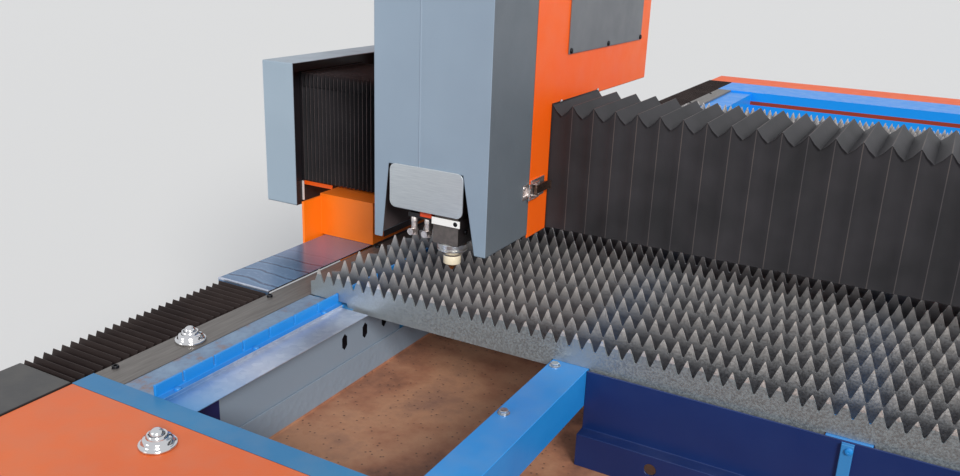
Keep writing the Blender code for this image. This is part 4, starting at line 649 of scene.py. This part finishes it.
chance = random.Random(7)
tooth = 2 * SLAT_END_X / TOOTH_COUNT
bm = bmesh.new()
for k in range(SLAT_COUNT):
    offset = 0.86 if k % 2 else 0.36
    lean = chance.uniform(-0.0012, 0.0012)
    crest = [(-SLAT_END_X, END_Z)]
    for i in range(TOOTH_COUNT):
        left = -SLAT_END_X + tooth * (i + offset)
        blunt = chance.choice((0.0, 0.0, 0.0006, 0.0015, 0.004))
        tip = TIP_Z - blunt
        if left + tooth > SLAT_END_X - 0.002:
            continue
        middle = left + 0.5 * tooth
        crest += [
            (left - 0.07 * tooth, ROOT_Z),
            (left, VALLEY_Z),
            (left + 0.07 * tooth, ROOT_Z),
            (left + 0.28 * tooth, SHOULDER_Z),
            (middle - TIP_HALF, tip),
            (middle + TIP_HALF, tip),
            (left + 0.72 * tooth, SHOULDER_Z),
        ]
    crest.append((SLAT_END_X, END_Z))
    lower = [
        (SLAT_END_X, SLAT_EAR_Z),
        (EAR_X, SLAT_EAR_Z),
        (EAR_X - 0.004, SLAT_LOW_Z),
        (TUBE_GAP[1], SLAT_LOW_Z),
        (TUBE_GAP[1], SLAT_EAR_Z),
        (TUBE_GAP[0], SLAT_EAR_Z),
        (TUBE_GAP[0], SLAT_LOW_Z),
    ]
    lower += [(-x, z) for x, z in reversed(lower)]
    y = SLAT_FIRST_Y + SLAT_PITCH * k
    cut_plate(
        bm,
        [(x, y - SLAT_HALF + lean * (z - 0.85) / 0.05, z) for x, z in crest + lower],
        [(x, y + SLAT_HALF + lean * (z - 0.85) / 0.05, z) for x, z in crest + lower],
    )
slats = finish_piece("toothed_slats", bm, slat_steel, "bed")
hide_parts("slat_table")

# Combs under the slats' ends: blue flat bar on edge, cut at every slat so that the slats stand upright.
COMB_THICK = 0.005
COMB_TOP = 0.867
CUT_HALF = 0.0024
CUT_LOW = 0.8500
LAST_SLAT_Y = SLAT_FIRST_Y + SLAT_PITCH * (SLAT_COUNT - 1)
comb = [(SLAT_FIRST_Y - 0.003, LEDGE_TOP + 0.001), (SLAT_FIRST_Y - 0.003, COMB_TOP)]
for k in range(SLAT_COUNT):
    y = SLAT_FIRST_Y + SLAT_PITCH * k
    comb += [
        (y - CUT_HALF, COMB_TOP),
        (y - CUT_HALF, CUT_LOW),
        (y + CUT_HALF, CUT_LOW),
        (y + CUT_HALF, COMB_TOP),
    ]
comb += [(LAST_SLAT_Y + 0.003, COMB_TOP), (LAST_SLAT_Y + 0.003, LEDGE_TOP + 0.001)]
bm = bmesh.new()
for side in (-1, 1):
    cut_plate(
        bm,
        [(side * (COMB_X - COMB_THICK), y, z) for y, z in comb],
        [(side * COMB_X, y, z) for y, z in comb],
    )
finish_piece("slat_comb_bars", bm, BLUE_COAT, "bed")

FOOT_SCREW_X, FOOT_SCREW_Z = 0.690, 0.8473
bm = bmesh.new()
for side in (-1, 1):
    for y in (-1.960, -1.790, -1.610):
        turned(bm, PAN_HEAD, (side * FOOT_SCREW_X, y, FOOT_SCREW_Z), sides=14)
finish_piece("comb_foot_screws", bm, BLUE_COAT, "bed")

# Ball transfer units: pressed steel cups, nickel-chrome plated, each with a bearing-steel ball that rolls
# on a bed of small ones. The plate is mirror bright under a faint haze.
BALL_PLACES = {"strip": (-0.7995, -1.83), "cover": (-0.59, -2.087)}
BALL_BASE = 0.8503
BALL_RADIUS = 0.010
bright_chrome, tree, shader, place = start_finish("nickel_chrome_plate", 1.0)
haze = add(tree, "TexNoise", {"Vector": place, "Scale": 1 / 0.012, "Detail": 3.0})
haze_rough = add(
    tree,
    "MapRange",
    {"Value": haze.outputs["Fac"], "From Min": 0.35, "From Max": 0.65, "To Min": 0.07, "To Max": 0.16},
)
plug(tree, shader, {"Base Color": srgb("#D6D6D8"), "Roughness": haze_rough.outputs["Result"]})
BALL_CUP = [
    (0.0, 0.0),
    (0.0255, 0.0),
    (0.0260, 0.0008),
    (0.0260, 0.0030),
    (0.0254, 0.0040),
    (0.0228, 0.0047),
    (0.0218, 0.0056),
    (0.0210, 0.0072),
    (0.0200, 0.0108),
    (0.0188, 0.0122),
    (0.0160, 0.0130),
    (0.0150, 0.0138),
    (0.0144, 0.0165),
    (0.0136, 0.0178),
    (0.0118, 0.0182),
    (0.0108, 0.0176),
    (0.0105, 0.0160),
    (0.0105, 0.0060),
    (0.0, 0.0060),
]
for word, (x, y) in BALL_PLACES.items():
    bm = bmesh.new()
    turned(bm, BALL_CUP, (x, y, BALL_BASE), sides=64)
    cup = finish_piece("ball_unit_cup_" + word, bm, bright_chrome, "bed")
    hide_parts("ball_cup_" + word)
    bm = bmesh.new()
    bmesh.ops.create_uvsphere(bm, u_segments=48, v_segments=24, radius=BALL_RADIUS)
    bmesh.ops.translate(bm, verts=bm.verts, vec=(x, y, BALL_BASE + 0.0063 + BALL_RADIUS))
    ball = finish_piece("rolling_ball_" + word, bm, bright_chrome, "ball_" + word)
    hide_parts("ball_" + word)

# Profile rails, racks, pinions and screw: ground and hardened steel, bolted to frame and beam.
# The grinding lines run along the bed and draw the shine out across them.
ground_steel, tree, shader, place = start_finish("ground_hardened_steel", 1.0)
grind = add(tree, "Mapping", {"Vector": place, "Scale": (1.0, 0.05, 1.0)})
grain = add(tree, "TexNoise", {"Vector": grind.outputs[0], "Scale": 1 / 0.002, "Detail": 3.0})
grain_rough = add(
    tree,
    "MapRange",
    {"Value": grain.outputs["Fac"], "From Min": 0.3, "From Max": 0.7, "To Min": 0.20, "To Max": 0.38},
)
plug(tree, shader, {"Base Color": srgb("#B4B6BA"), "Roughness": grain_rough.outputs["Result"]})
dress(["y_rail_left", "y_rail_right", "y_rack_left", "y_rack_right", "x_rack"], ground_steel, 0.0006)
dress(["x_rail_lower", "x_rail_upper"], ground_steel, 0.0004)
dress(["y_pinion_left", "y_pinion_right", "x_pinion"], ground_steel, 0.0004)
dress(["z_screw"], ground_steel, 0.0005)

# Rail bellows: PVC-coated polyester folded into sharp pleats over the rails, stapled to plates at both
# ends. The coat is matt black with a brown tint that is a painted reflection; the fold edges are rubbed a
# little paler.
FOLD_SKIN = 0.0010


def coated_cloth(name, dark, light):
    """Matt coated cloth: uneven in tone along its length, with the weave just showing through."""
    material, tree, shader, place = start_finish(name)
    weave = add(tree, "TexNoise", {"Vector": place, "Scale": 1 / 0.0025, "Detail": 2.0})
    shade = add(tree, "TexNoise", {"Vector": place, "Scale": 1 / 0.12, "Detail": 3.0})
    tone = add(tree, "ValToRGB", {"Fac": shade.outputs["Fac"]}, stops=[(0.35, dark), (0.65, light)])
    bump = add(tree, "Bump", {"Height": weave.outputs["Fac"], "Strength": 0.25, "Distance": 0.0004})
    plug(tree, shader, {"Base Color": tone.outputs["Color"], "Normal": bump.outputs["Normal"]})
    plug(tree, shader, {"Roughness": 0.52, "Specular IOR Level": 0.14})
    return material


# The rail cloth's brown tint is a painted reflection.
RAIL_CLOTH = coated_cloth("coated_polyester_painted_reflection", "#241D1D", "#302827")
RAIL_HEM = coated_cloth("fold_edge_painted_reflection", "#3A3130", "#4A403E")
BEAM_CLOTH = coated_cloth("pvc_coated_polyester", "#2D2D30", "#38373B")
BEAM_HEM = coated_cloth("rubbed_fold_edge", "#454347", "#5A5452")
# The left beam bellows lie in shade; their fold edges are painted far paler than rubbing makes them, as
# painted light.
LEFT_HEM_PAINTED_LIGHT = coated_cloth("rubbed_fold_edge_painted_light", "#857A7C", "#9C8E90")


def fold_places(start, end, folds, wave):
    """Stations along a bellows as (place, sink): sink 0 on a fold's edge, 1 in the valley between two."""
    step = (end - start) / folds
    stations = [(start, wave[-1][1])]
    for k in range(folds):
        stations += [(start + (k + share) * step, sink) for share, sink in wave]
    return stations


def folded_sheet(bm, stations, section, hem_index):
    """A zigzag sheet whose lines across, outer and inner, section(place, sink) gives at each station."""
    rings = []
    for place, sink in stations:
        outer, inner = section(place, sink)
        rings.append([bm.verts.new(p) for p in outer] + [bm.verts.new(p) for p in reversed(inner)])
    for k, (first, second) in enumerate(zip(rings, rings[1:])):
        on_hem = stations[k][1] == 0.0 and stations[k + 1][1] == 0.0
        for i in range(len(first)):
            j = (i + 1) % len(first)
            face = bm.faces.new((first[i], first[j], second[j], second[i]))
            if on_hem and i < len(first) / 2 - 1:
                face.material_index = hem_index
    bm.faces.new(rings[0])
    bm.faces.new(rings[-1])


VALLEY_TO_VALLEY = ((0.25, 0.42), (0.475, 0.0), (0.525, 0.0), (0.75, 0.42), (1.0, 1.0))
RAIL_COVER_PEAK = 0.852
RAIL_COVER_DROP = 0.024
RAIL_COVER_SKIRT = 0.806
CHANNEL_X = (0.8365, 0.9568)
GANTRY_FRONT_Y = -1.5973
GANTRY_REAR_Y = -0.8497
FRAME_ENDS_Y = (-2.0345, 2.083)
SIDE_PLEAT = 0.010
rail_covers = (
    ("front", FRAME_ENDS_Y[0], GANTRY_FRONT_Y, 26),
    ("rear", GANTRY_REAR_Y, FRAME_ENDS_Y[1], 168),
)
for side, word in ((-1, "left"), (1, "right")):
    for place_word, start, end, folds in rail_covers:
        stations = fold_places(start, end, folds, VALLEY_TO_VALLEY)
        inner_x, outer_x = side * CHANNEL_X[0], side * CHANNEL_X[1]

        def roof(y, sink):
            z = RAIL_COVER_PEAK - RAIL_COVER_DROP * sink
            line = [(inner_x, y, z), (outer_x, y, z)]
            return line, [(px, py, pz - FOLD_SKIN) for px, py, pz in line]

        def skirt(y, sink):
            x = outer_x - side * SIDE_PLEAT * sink
            z = RAIL_COVER_PEAK - RAIL_COVER_DROP * sink - FOLD_SKIN
            line = [(x, y, RAIL_COVER_SKIRT), (x, y, z)]
            return line, [(px - side * FOLD_SKIN, py, pz) for px, py, pz in line]

        bm = bmesh.new()
        folded_sheet(bm, stations, roof, 1)
        folded_sheet(bm, stations, skirt, 1)
        cover = finish_piece(
            f"rail_bellows_{place_word}_{word}", bm, RAIL_CLOTH, None
        )
        cover.data.materials.append(RAIL_HEM)
        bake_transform(cover)
        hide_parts(f"y_bellows_{place_word}_{word}")

# Saddle aprons: stainless sheet that slides over the strip's edge, still under its blue protective film.
# The film is glossy, printed with faint dashes, and lifts in darker bands where it has creased. It has
# paled beside the saddle, and the sheet's side edges are dark.
film_steel, tree, shader, place = start_finish("filmed_stainless_sheet", 0.45)
across = add(tree, "SeparateXYZ", {0: place})
wander = add(tree, "TexNoise", {"Vector": place, "Scale": 1 / 0.09, "Detail": 2.0})
waves = add(tree, "Math", {0: across.outputs["Y"], 1: 2 * math.pi / 0.046}, operation="MULTIPLY")
bent = add(
    tree, "Math", {0: wander.outputs["Fac"], 1: 5.0, 2: waves.outputs[0]}, operation="MULTIPLY_ADD"
)
bands = add(tree, "Math", {0: bent.outputs[0]}, operation="SINE")
band_tone = add(
    tree,
    "ValToRGB",
    {"Fac": bands.outputs[0]},
    stops=[(0.0, "#617EA2"), (0.80, "#6C8DB0"), (0.92, "#4A6286"), (1.0, "#3B4D6E")],
)
dash_place = add(tree, "Mapping", {"Vector": place, "Scale": (0.35, 1.0, 1.0)})
dashes = add(tree, "TexVoronoi", {"Vector": dash_place.outputs[0], "Scale": 1 / 0.006})
dash_mask = add(
    tree,
    "MapRange",
    {
        "Value": dashes.outputs["Distance"],
        "From Min": 0.18,
        "From Max": 0.30,
        "To Min": 0.35,
        "To Max": 0.0,
    },
)
film_tone = add(
    tree,
    "Mix",
    {0: dash_mask.outputs["Result"], 6: band_tone.outputs["Color"], 7: srgb("#8FA6C6")},
    data_type="RGBA",
)
plug(tree, shader, {"Base Color": film_tone.outputs[2], "Roughness": 0.24})
repaint(film_steel, ramp(tree, "Y", -1.45, -1.36), "#8290B4")
repaint(film_steel, ramp(tree, "X", 0.50, 0.90, facing=True), "#3A3434")
dress(["saddle_apron_left", "saddle_apron_right"], film_steel, 0.0008)

bm = bmesh.new()
mirrored_box(bm, (0.8365, 0.9675), (-1.5980, -1.5925), (0.8505, 0.8541))
finish_piece("apron_front_edges", bm, deflector_zinc, "gantry", 0.0006)

# Gantry: a square welded beam on two saddles, in the housing's orange powder coat.
# The saddles are painted a shade yellower than the rest as painted light from the sparks; the end hoods
# are folded sheet in pale grey.
# The beam's end flanges and the insides of the hoods are painted black as painted shade, so the bellows
# run out into the dark.
BEAM_ORANGE = sprayed("beam_powder_coat", "#FF6206", "#FF6A10", 0.40, 3.0, 0.06)
# Painted shade on the beam's end flanges.
end_flange_shade = within(BEAM_ORANGE.node_tree, XX=(1.066, 1.080), Z=(0.94, 1.30))
repaint(BEAM_ORANGE, end_flange_shade, "#1C1A1E")
dress(["gantry_beam"], BEAM_ORANGE, 0.0018)
# Yellower orange on the saddles is painted light from the sparks.
SADDLE_ORANGE_PAINTED_LIGHT = sprayed("saddle_powder_coat_painted_light", "#FF7C10", "#FF841A", 0.40, 3.0, 0.06)
dress(["saddle_left", "saddle_right"], SADDLE_ORANGE_PAINTED_LIGHT, 0.0018)
HOOD_GREY = sprayed("hood_powder_coat", "#91A3B3", "#9AACBC", 0.42, 3.0, 0.10)
# Painted shade on the hoods' inner faces.
hood_inside_shade = within(HOOD_GREY.node_tree, XX=(0.90, 1.0777), Y=(-1.3217, -0.8693), Z=(0.90, 1.2497))
repaint(HOOD_GREY, hood_inside_shade, "#1E1B20")
dress(["end_hood_left", "end_hood_right"], HOOD_GREY, 0.0022, open_sided=True)

# Skirts under the hoods: thin sheet, painted black as painted shade, that closes the beam's end down to
# the saddle's cheek, with a white strip on its front edge as a painted highlight, and an orange flat bar
# that holds the beam bellows' lower edge inside the hood.
SKIRT_X = (1.0745, 1.0765)
STRIP_X = (SKIRT_X[0] - 0.0045, SKIRT_X[0] - 0.0002)
skirts, strips, bars = bmesh.new(), bmesh.new(), bmesh.new()
mirrored_box(skirts, SKIRT_X, (-1.2300, -0.9000), (0.8980, 0.9560))
mirrored_box(strips, STRIP_X, (-1.2085, -1.2060), (0.9080, 0.9550))
mirrored_box(bars, (0.9850, 1.0680), (-1.2080, -1.2050), (0.9475, 0.9565))
# The skirts' black is painted shade.
finish_piece("hood_skirts", skirts, BLACK_COAT, "gantry", 0.0004)
# The white edge strip is a painted highlight.
SKIRT_EDGE_HIGHLIGHT = sprayed("white_painted_highlight", "#E8E2E2", "#F2EEEE", 0.45, 3.0, 0.0)
finish_piece("hood_skirt_highlights", strips, SKIRT_EDGE_HIGHLIGHT, "gantry")
finish_piece("bellows_foot_bars", bars, ORANGE_COAT, "gantry", 0.0004)

# Saddle sides: a dark sheet of painted shade fills the hollow above each saddle's base, and a black wiper
# seals it to the strip. Cap screws hold the saddle's top, and pan heads its cheek.
shut, wipers = bmesh.new(), bmesh.new()
mirrored_box(shut, (0.8312, 0.8319), (-1.2150, -0.8520), (0.8615, 0.9495))
mirrored_box(wipers, (0.8305, 0.8362), (-1.2540, -0.8520), (0.8504, 0.8550))
# Painted shade in the saddles' hollows.
SADDLE_HOLLOW_SHADE = sprayed("hollow_painted_shade", "#453F42", "#4E484A", 0.50, 4.0, 0.04)
finish_piece("saddle_hollow_shade_sheets", shut, SADDLE_HOLLOW_SHADE, "gantry")
finish_piece("saddle_wipers", wipers, BLACK_COAT, "gantry")

SADDLE_TOP = 0.951
SADDLE_SCREW_Y = -0.985
CHEEK_X = 1.079
head = [(radius * 1.6, height * 1.4) for radius, height in CAP_HEAD]
bm = bmesh.new()
for side in (-1, 1):
    for x in (0.852, 0.960):
        turned(bm, head, (side * x, SADDLE_SCREW_Y, SADDLE_TOP), sides=16)
    for y in (-1.235, -1.07, -0.90):
        turned(bm, PAN_HEAD, (side * CHEEK_X, y, 0.955), (side, 0, 0), 12)
        turned(bm, PAN_HEAD, (side * CHEEK_X, y, 1.230), (side, 0, 0), 12)
finish_piece("saddle_screws", bm, BLACK_OXIDE, "gantry")

# Servo motors: die-cast aluminium bodies in black enamel, with cooling ribs and a plug with its gland.
# Each seat gives the motor's body, its axis in X and Y, its base, its half width and its length.
MOTOR_COAT = sprayed("motor_black_enamel", "#1F1F22", "#28282B", 0.38, 5.0, 0.10)
dress(["y_motor_left", "y_motor_right", "x_motor", "z_motor"], MOTOR_COAT, 0.0012)
RIB_COUNT = 9
RIB_THICK = 0.004
RIB_INSET = 0.002
GLAND = [(0.010, 0.0), (0.010, 0.016), (0.008, 0.018)]
motor_seats = (
    ("gantry", -0.8673, -0.910, 0.9513, 0.040, 0.22),
    ("gantry", 0.8673, -0.910, 0.9513, 0.040, 0.22),
    ("carriage", -0.558, -1.0767, 1.2053, 0.040, 0.22),
    ("carriage", -0.523, -1.2378, 1.5706, 0.030, 0.13),
)
for k, (body, x, y, base, half, length) in enumerate(motor_seats):
    bm = bmesh.new()
    for i in range(RIB_COUNT):
        z = base + 0.024 + i * (length - 0.075) / RIB_COUNT
        reach = half - RIB_INSET
        box(bm, (x - reach, y - reach, z), (x + reach, y + reach, z + RIB_THICK))
    z = base + length - 0.026
    plug_end = y + half + 0.016
    box(bm, (x - 0.014, y + half - 0.006, z - 0.014), (x + 0.014, plug_end, z + 0.014))
    turned(bm, GLAND, (x, plug_end, z), (0, 1, 0), 20)
    finish_piece(f"motor_ribs_and_plug_{k}", bm, MOTOR_COAT, body, 0.0008)

# Beam bellows: the same coated cloth in stiffened panels, hung over the beam in three folded sheets.
# The front and rear sheets fold in depth, the top sheet folds in height and its lip hangs in points.
BEAM_COVER_Y = (-1.2060, -0.9650)
BEAM_COVER_Z = (0.9570, 1.2118)
BEAM_FOLDS = 34
BOW = 0.6
CARRIAGE_X = (-0.6806, -0.4355)
FLANGE_X = 1.0684
RIDGE_TO_RIDGE = ((0.018, 0.0), (0.25, 0.42), (0.5, 1.0), (0.75, 0.42), (0.982, 0.0), (1.0, 0.0))
beam_covers = (
    ("left", -FLANGE_X, CARRIAGE_X[0] - 0.0003, 0.0290, 0.0140),
    ("right", CARRIAGE_X[1] + 0.0003, FLANGE_X, 0.0220, 0.0034),
)
for word, start, end, top_drop, depth in beam_covers:
    stations = fold_places(start, end, BEAM_FOLDS, RIDGE_TO_RIDGE)

    def top_sheet(x, sink):
        z = BEAM_COVER_Z[1] - top_drop * sink**BOW
        line = [(x, BEAM_COVER_Y[0], z), (x, BEAM_COVER_Y[1], z)]
        return line, [(px, py, pz - FOLD_SKIN) for px, py, pz in line]

    def side_sheet(edge_y, inward):
        """The sheet that hangs at one side of the beam, folded inward from that side's edge."""

        def sheet(x, sink):
            y = edge_y + inward * (0.0008 + depth * sink**BOW)
            z = BEAM_COVER_Z[1] - top_drop * sink**BOW - FOLD_SKIN
            line = [(x, y, BEAM_COVER_Z[0]), (x, y, z)]
            return line, [(px, py + inward * FOLD_SKIN, pz) for px, py, pz in line]

        return sheet

    bm = bmesh.new()
    for sheet in (top_sheet, side_sheet(BEAM_COVER_Y[0], 1), side_sheet(BEAM_COVER_Y[1], -1)):
        folded_sheet(bm, stations, sheet, 1)
    cover = finish_piece("beam_bellows_" + word, bm, BEAM_CLOTH, None)
    cover.data.materials.append(LEFT_HEM_PAINTED_LIGHT if word == "left" else BEAM_HEM)
    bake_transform(cover)
    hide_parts("x_bellows_" + word)

# End frames of the beam bellows: black steel strip on edge, riveted to the housing with bright rivets.
FRAME_WIDTH = 0.020
FRAME_THICK = 0.0012
RIVET = [(0.0042, 0.0), (0.0040, 0.0010), (0.0028, 0.0020), (0.0, 0.0024)]
frame_plates = bmesh.new()
rivets = bmesh.new()
for x, facing in ((CARRIAGE_X[1] + FRAME_THICK, 1), (CARRIAGE_X[0] - FRAME_THICK, -1)):
    low_x, high_x = sorted((x, x + facing * FRAME_THICK))
    y0, y1 = BEAM_COVER_Y
    z0, z1 = BEAM_COVER_Z
    box(frame_plates, (low_x, y0 - 0.001, z0), (high_x, y0 + FRAME_WIDTH, z1 + 0.001))
    box(frame_plates, (low_x, y1 - FRAME_WIDTH, z0), (high_x, y1, z1 + 0.001))
    inner_y = (y0 + FRAME_WIDTH, y1 - FRAME_WIDTH)
    box(frame_plates, (low_x, inner_y[0], z1 - FRAME_WIDTH), (high_x, inner_y[1], z1 + 0.001))
    rivet_places = ((y0 + 0.040, z1), (y1 - 0.005, z1), (y0 + 0.008, 1.029), (y0 + 0.008, 1.12))
    for y, z in rivet_places + ((y1 - 0.008, 1.05),):
        turned(rivets, RIVET, (x + facing * FRAME_THICK, y, z), (facing, 0, 0), 16)
finish_piece("bellows_end_frames", frame_plates, BLACK_COAT, "carriage")
finish_piece("bellows_rivets", rivets, ZINC_PLATE, "carriage")

# Carriage: a machined aluminium casting inside, and folded steel housing outside in orange.
# The casting is pale silver, with a fine grain from the cutter.
cast_metal = bare_metal("machined_aluminium", ("#A3A7AB", "#B9BCBF"), 0.36, 4.0, 0.85, 4.0)
dress(["carriage_casting", "z_slide"], cast_metal, 0.001)
dress(["carriage_housing"], ORANGE_COAT, 0.0020, open_sided=True)

# Access panel: a flat plate in dark grey powder coat, held by black pan-head screws along its edges.
PANEL_GREY = sprayed("dark_grey_powder_coat", "#696D73", "#72767C", 0.44, 3.0, 0.05)
dress(["access_panel"], PANEL_GREY, 0.0010)
PANEL_X = -0.4322
PANEL_SCREW_YS = (-1.1355, -0.930, -0.7195)
PANEL_SCREW_ZS = (1.3095, 1.50, 1.6935)
bm = bmesh.new()
for y in PANEL_SCREW_YS:
    for z in PANEL_SCREW_ZS:
        if (y, z) != (PANEL_SCREW_YS[1], PANEL_SCREW_ZS[1]):
            turned(bm, PAN_HEAD, (PANEL_X, y, z), (1, 0, 0), 14)
finish_piece("access_panel_screws", bm, BLACK_OXIDE, "carriage")

# Head cover: folded sheet in grey powder coat, creased from top to notch, hung on the housing by a latch.
# Its side flanges are painted a darker grey than its front as painted shade, and its inner faces are
# painted dark as painted shade.
COVER_GREY = sprayed("cover_powder_coat", "#8193A6", "#899CAF", 0.42, 3.0, 0.10)
# Painted shade on the cover's side flanges.
flank_shade = ramp(COVER_GREY.node_tree, "X", 0.75, 0.98, facing=True)
repaint(COVER_GREY, flank_shade, "#646D76")
# Painted shade on the cover's inner faces.
cover_inside_shade = within(COVER_GREY.node_tree, X=(-0.6788, -0.4373), Y=(-1.4609, -1.20), Z=(0.90, 1.7482))
repaint(COVER_GREY, cover_inside_shade, "#4A4245")
dress(["head_cover"], COVER_GREY, 0.0025, open_sided=True)
CREASE_X, CREASE_Y = -0.5803, -1.4623
CREASE_Z = (1.1115, 1.7495)
crease = [(-0.0022, 0.0), (-0.0012, -0.0009), (0.0, -0.0013), (0.0012, -0.0009), (0.0022, 0.0)]
bm = bmesh.new()
cut_plate(bm, *([(CREASE_X + x, CREASE_Y + y, z) for x, y in crease] for z in CREASE_Z))
finish_piece("head_cover_crease", bm, COVER_GREY, "carriage")

# Shield plate: brushed stainless steel in front of the notch, left bare.
# The strokes run across it and soften its shine.
shield_steel = bare_metal(
    "brushed_stainless",
    ("#B4BDC5", "#C3CBD1"),
    0.36,
    1.5,
    0.60,
    spread=(0.30, 0.70),
    drawn=(0.05, 1.0, 1.0),
)
dress(["shield_plate"], shield_steel, 0.0008)

# Toggle latch: pressed steel, zinc plated, with its keeper riveted to the cover's side.
# Base and bail are pale and soft; the lever is painted brown as a painted reflection of orange.
LATCH_ZINC = bare_metal("passivated_zinc_plate", ("#D6CECC", "#F2ECEA"), 0.42)
dress(["latch_base", "latch_bail"], LATCH_ZINC, 0.0005)
# The lever's brown is a painted reflection of orange.
lever_orange_reflection = bare_metal("zinc_plate_orange_reflection", ("#6A564C", "#8A7468"), 0.42)
dress(["latch_lever"], lever_orange_reflection, 0.0005)
bm = bmesh.new()
box(bm, (-0.4353, -1.3190, 1.0380), (-0.4345, -1.2960, 1.0680))
box(bm, (-0.4350, -1.3052, 1.0445), (-0.4256, -1.3012, 1.0615))
for y, z in ((-1.3130, 1.0618), (-1.3100, 1.0447)):
    turned(bm, RIVET, (-0.4345, y, z), (1, 0, 0), 14)
finish_piece("latch_keeper_clip", bm, LATCH_ZINC, "carriage")

# Cutting head: a milled aluminium sensor housing, anodised black, screwed under a white bracket.
# Its front face is painted a lighter grey as painted light, and its flanks keep the black.
HEAD_X, HEAD_Y = -0.523, -1.431
anodised = bare_metal("black_anodised_aluminium", ("#585351", "#68625F"), 0.40, 10.0, 0.35)
# The grey front is painted light; the flanks keep the black.
flank_shade = ramp(anodised.node_tree, "Y", 0.90, 0.60, facing=True)
repaint(anodised, flank_shade, "#231F21")
dress(["cutting_head"], anodised, 0.0012, open_sided=True)

white_bracket = sprayed("white_enamel", "#E9EBEC", "#F2F3F3", 0.35, 4.0, 0.0)
bm = bmesh.new()
BRACKET_Y = (HEAD_Y - 0.0290, HEAD_Y - 0.0279)
box(bm, (HEAD_X - 0.0297, BRACKET_Y[0], 1.0080), (HEAD_X + 0.0310, BRACKET_Y[1], 1.0216))
finish_piece("sensor_bracket", bm, white_bracket, "head", 0.0004)

bm = bmesh.new()
FLUSH_HEAD = [(0.0045, 0.0), (0.0045, 0.0015), (0.0042, 0.0017), (0.0, 0.0017)]
turned(bm, FLUSH_HEAD, (HEAD_X + 0.0215, HEAD_Y - 0.0276, 1.0148), (0, -1, 0), 16)
turned(bm, PAN_HEAD, (HEAD_X + 0.0300, HEAD_Y - 0.0040, 0.9950), (1, 0, 0), 16)
finish_piece("sensor_screws", bm, BLACK_OXIDE, "head")

# Gas block beside the sensor: red-orange anodised aluminium on a black arm, with two plated elbows that
# screw into the arm from below.
anodised_orange = sprayed("orange_anodised", "#D8431C", "#E04C22", 0.34, 3.0, 0.0)
bm = bmesh.new()
box(bm, (-0.5820, -1.4550, 1.0150), (-0.5560, -1.4250, 1.0320))
finish_piece("gas_block", bm, anodised_orange, "head", 0.0010)
bm = bmesh.new()
box(bm, (-0.6180, -1.4400, 1.0060), (-0.5530, -1.4240, 1.0150))
finish_piece("gas_block_arm", bm, BLACK_COAT, "head", 0.0006)
elbow_body = [
    (0.0, 0.0),
    (0.0066, 0.0),
    (0.0070, 0.0008),
    (0.0070, 0.0100),
    (0.0060, 0.0110),
    (0.0060, 0.0300),
    (0.0072, 0.0310),
    (0.0072, 0.0360),
    (0.0, 0.0360),
]
elbow_arm = [
    (0.0, -0.0060),
    (0.0056, -0.0060),
    (0.0056, 0.0090),
    (0.0068, 0.0095),
    (0.0068, 0.0145),
    (0.0, 0.0145),
]
ELBOW_Y = -1.4330
bm = bmesh.new()
for x in (-0.6080, -0.5770):
    turned(bm, elbow_body, (x, ELBOW_Y, 1.0060), (0, 0, -1), 24)
    turned(bm, elbow_arm, (x, ELBOW_Y, 0.9780), (0, -1, 0), 24)
finish_piece("gas_elbows", bm, LATCH_ZINC, "head")

# Below the sensor: stainless lock rings, a glazed ceramic ring and a turned copper nozzle, all screwed
# together. The rings shine softly, the glaze is cream and glossy, the copper is scorched in patches.
steel_ring = bare_metal("turned_stainless", ("#D6D6D4", "#E6E6E5"), 0.34)
ceramic, tree, shader, place = start_finish("glazed_ceramic")
plug(tree, shader, {"Base Color": srgb("#EFE4CB"), "Roughness": 0.28})
glaze = add(tree, "TexNoise", {"Vector": place, "Scale": 1 / 0.004, "Detail": 2.0})
glaze_bump = add(tree, "Bump", {"Height": glaze.outputs["Fac"], "Strength": 0.08, "Distance": 0.0003})
plug(tree, shader, {"Normal": glaze_bump.outputs["Normal"]})
tip_copper = bare_metal("turned_copper", ("#C98C58", "#8E6A50"), 0.28, 5.0, 1.0, 4.0, (0.40, 0.70))

HOLDER = [(0.0, 0.9450), (0.0168, 0.9450), (0.0172, 0.9458), (0.0176, 0.9480), (0.0200, 0.9490)]
LOWER_RING = [(0.0262, 0.9545), (0.0288, 0.9565), (0.0288, 0.9592), (0.0280, 0.9598), (0.0268, 0.9600)]
UPPER_RING = [(0.0268, 0.9606), (0.0280, 0.9608), (0.0288, 0.9616), (0.0288, 0.9695), (0.0282, 0.9702)]
NECK = [(0.0262, 0.9706), (0.0262, 0.9712), (0.0, 0.9712)]
bm = bmesh.new()
turned(bm, HOLDER + LOWER_RING + UPPER_RING + NECK, (HEAD_X, HEAD_Y, 0.0), sides=48)
lock_rings = finish_piece("nozzle_lock_rings", bm, steel_ring, "head")
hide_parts("nozzle")
CERAMIC_LOW = [(0.0, 0.9275), (0.0140, 0.9275), (0.0164, 0.9285), (0.0168, 0.9295)]
CERAMIC_TOP = [(0.0168, 0.9430), (0.0162, 0.9449), (0.0, 0.9449)]
bm = bmesh.new()
turned(bm, CERAMIC_LOW + CERAMIC_TOP, (HEAD_X, HEAD_Y, 0.0), sides=48)
finish_piece("ceramic_ring", bm, ceramic, "head")
CONE = [(0.0, 0.9150), (0.0028, 0.9150), (0.0034, 0.9156), (0.0082, 0.9238), (0.0082, 0.9248)]
COLLAR = [(0.0120, 0.9252), (0.0124, 0.9258), (0.0124, 0.9272), (0.0, 0.9272)]
bm = bmesh.new()
turned(bm, CONE + COLLAR, (HEAD_X, HEAD_Y, 0.0), sides=32)
finish_piece("nozzle_tip", bm, tip_copper, "head")
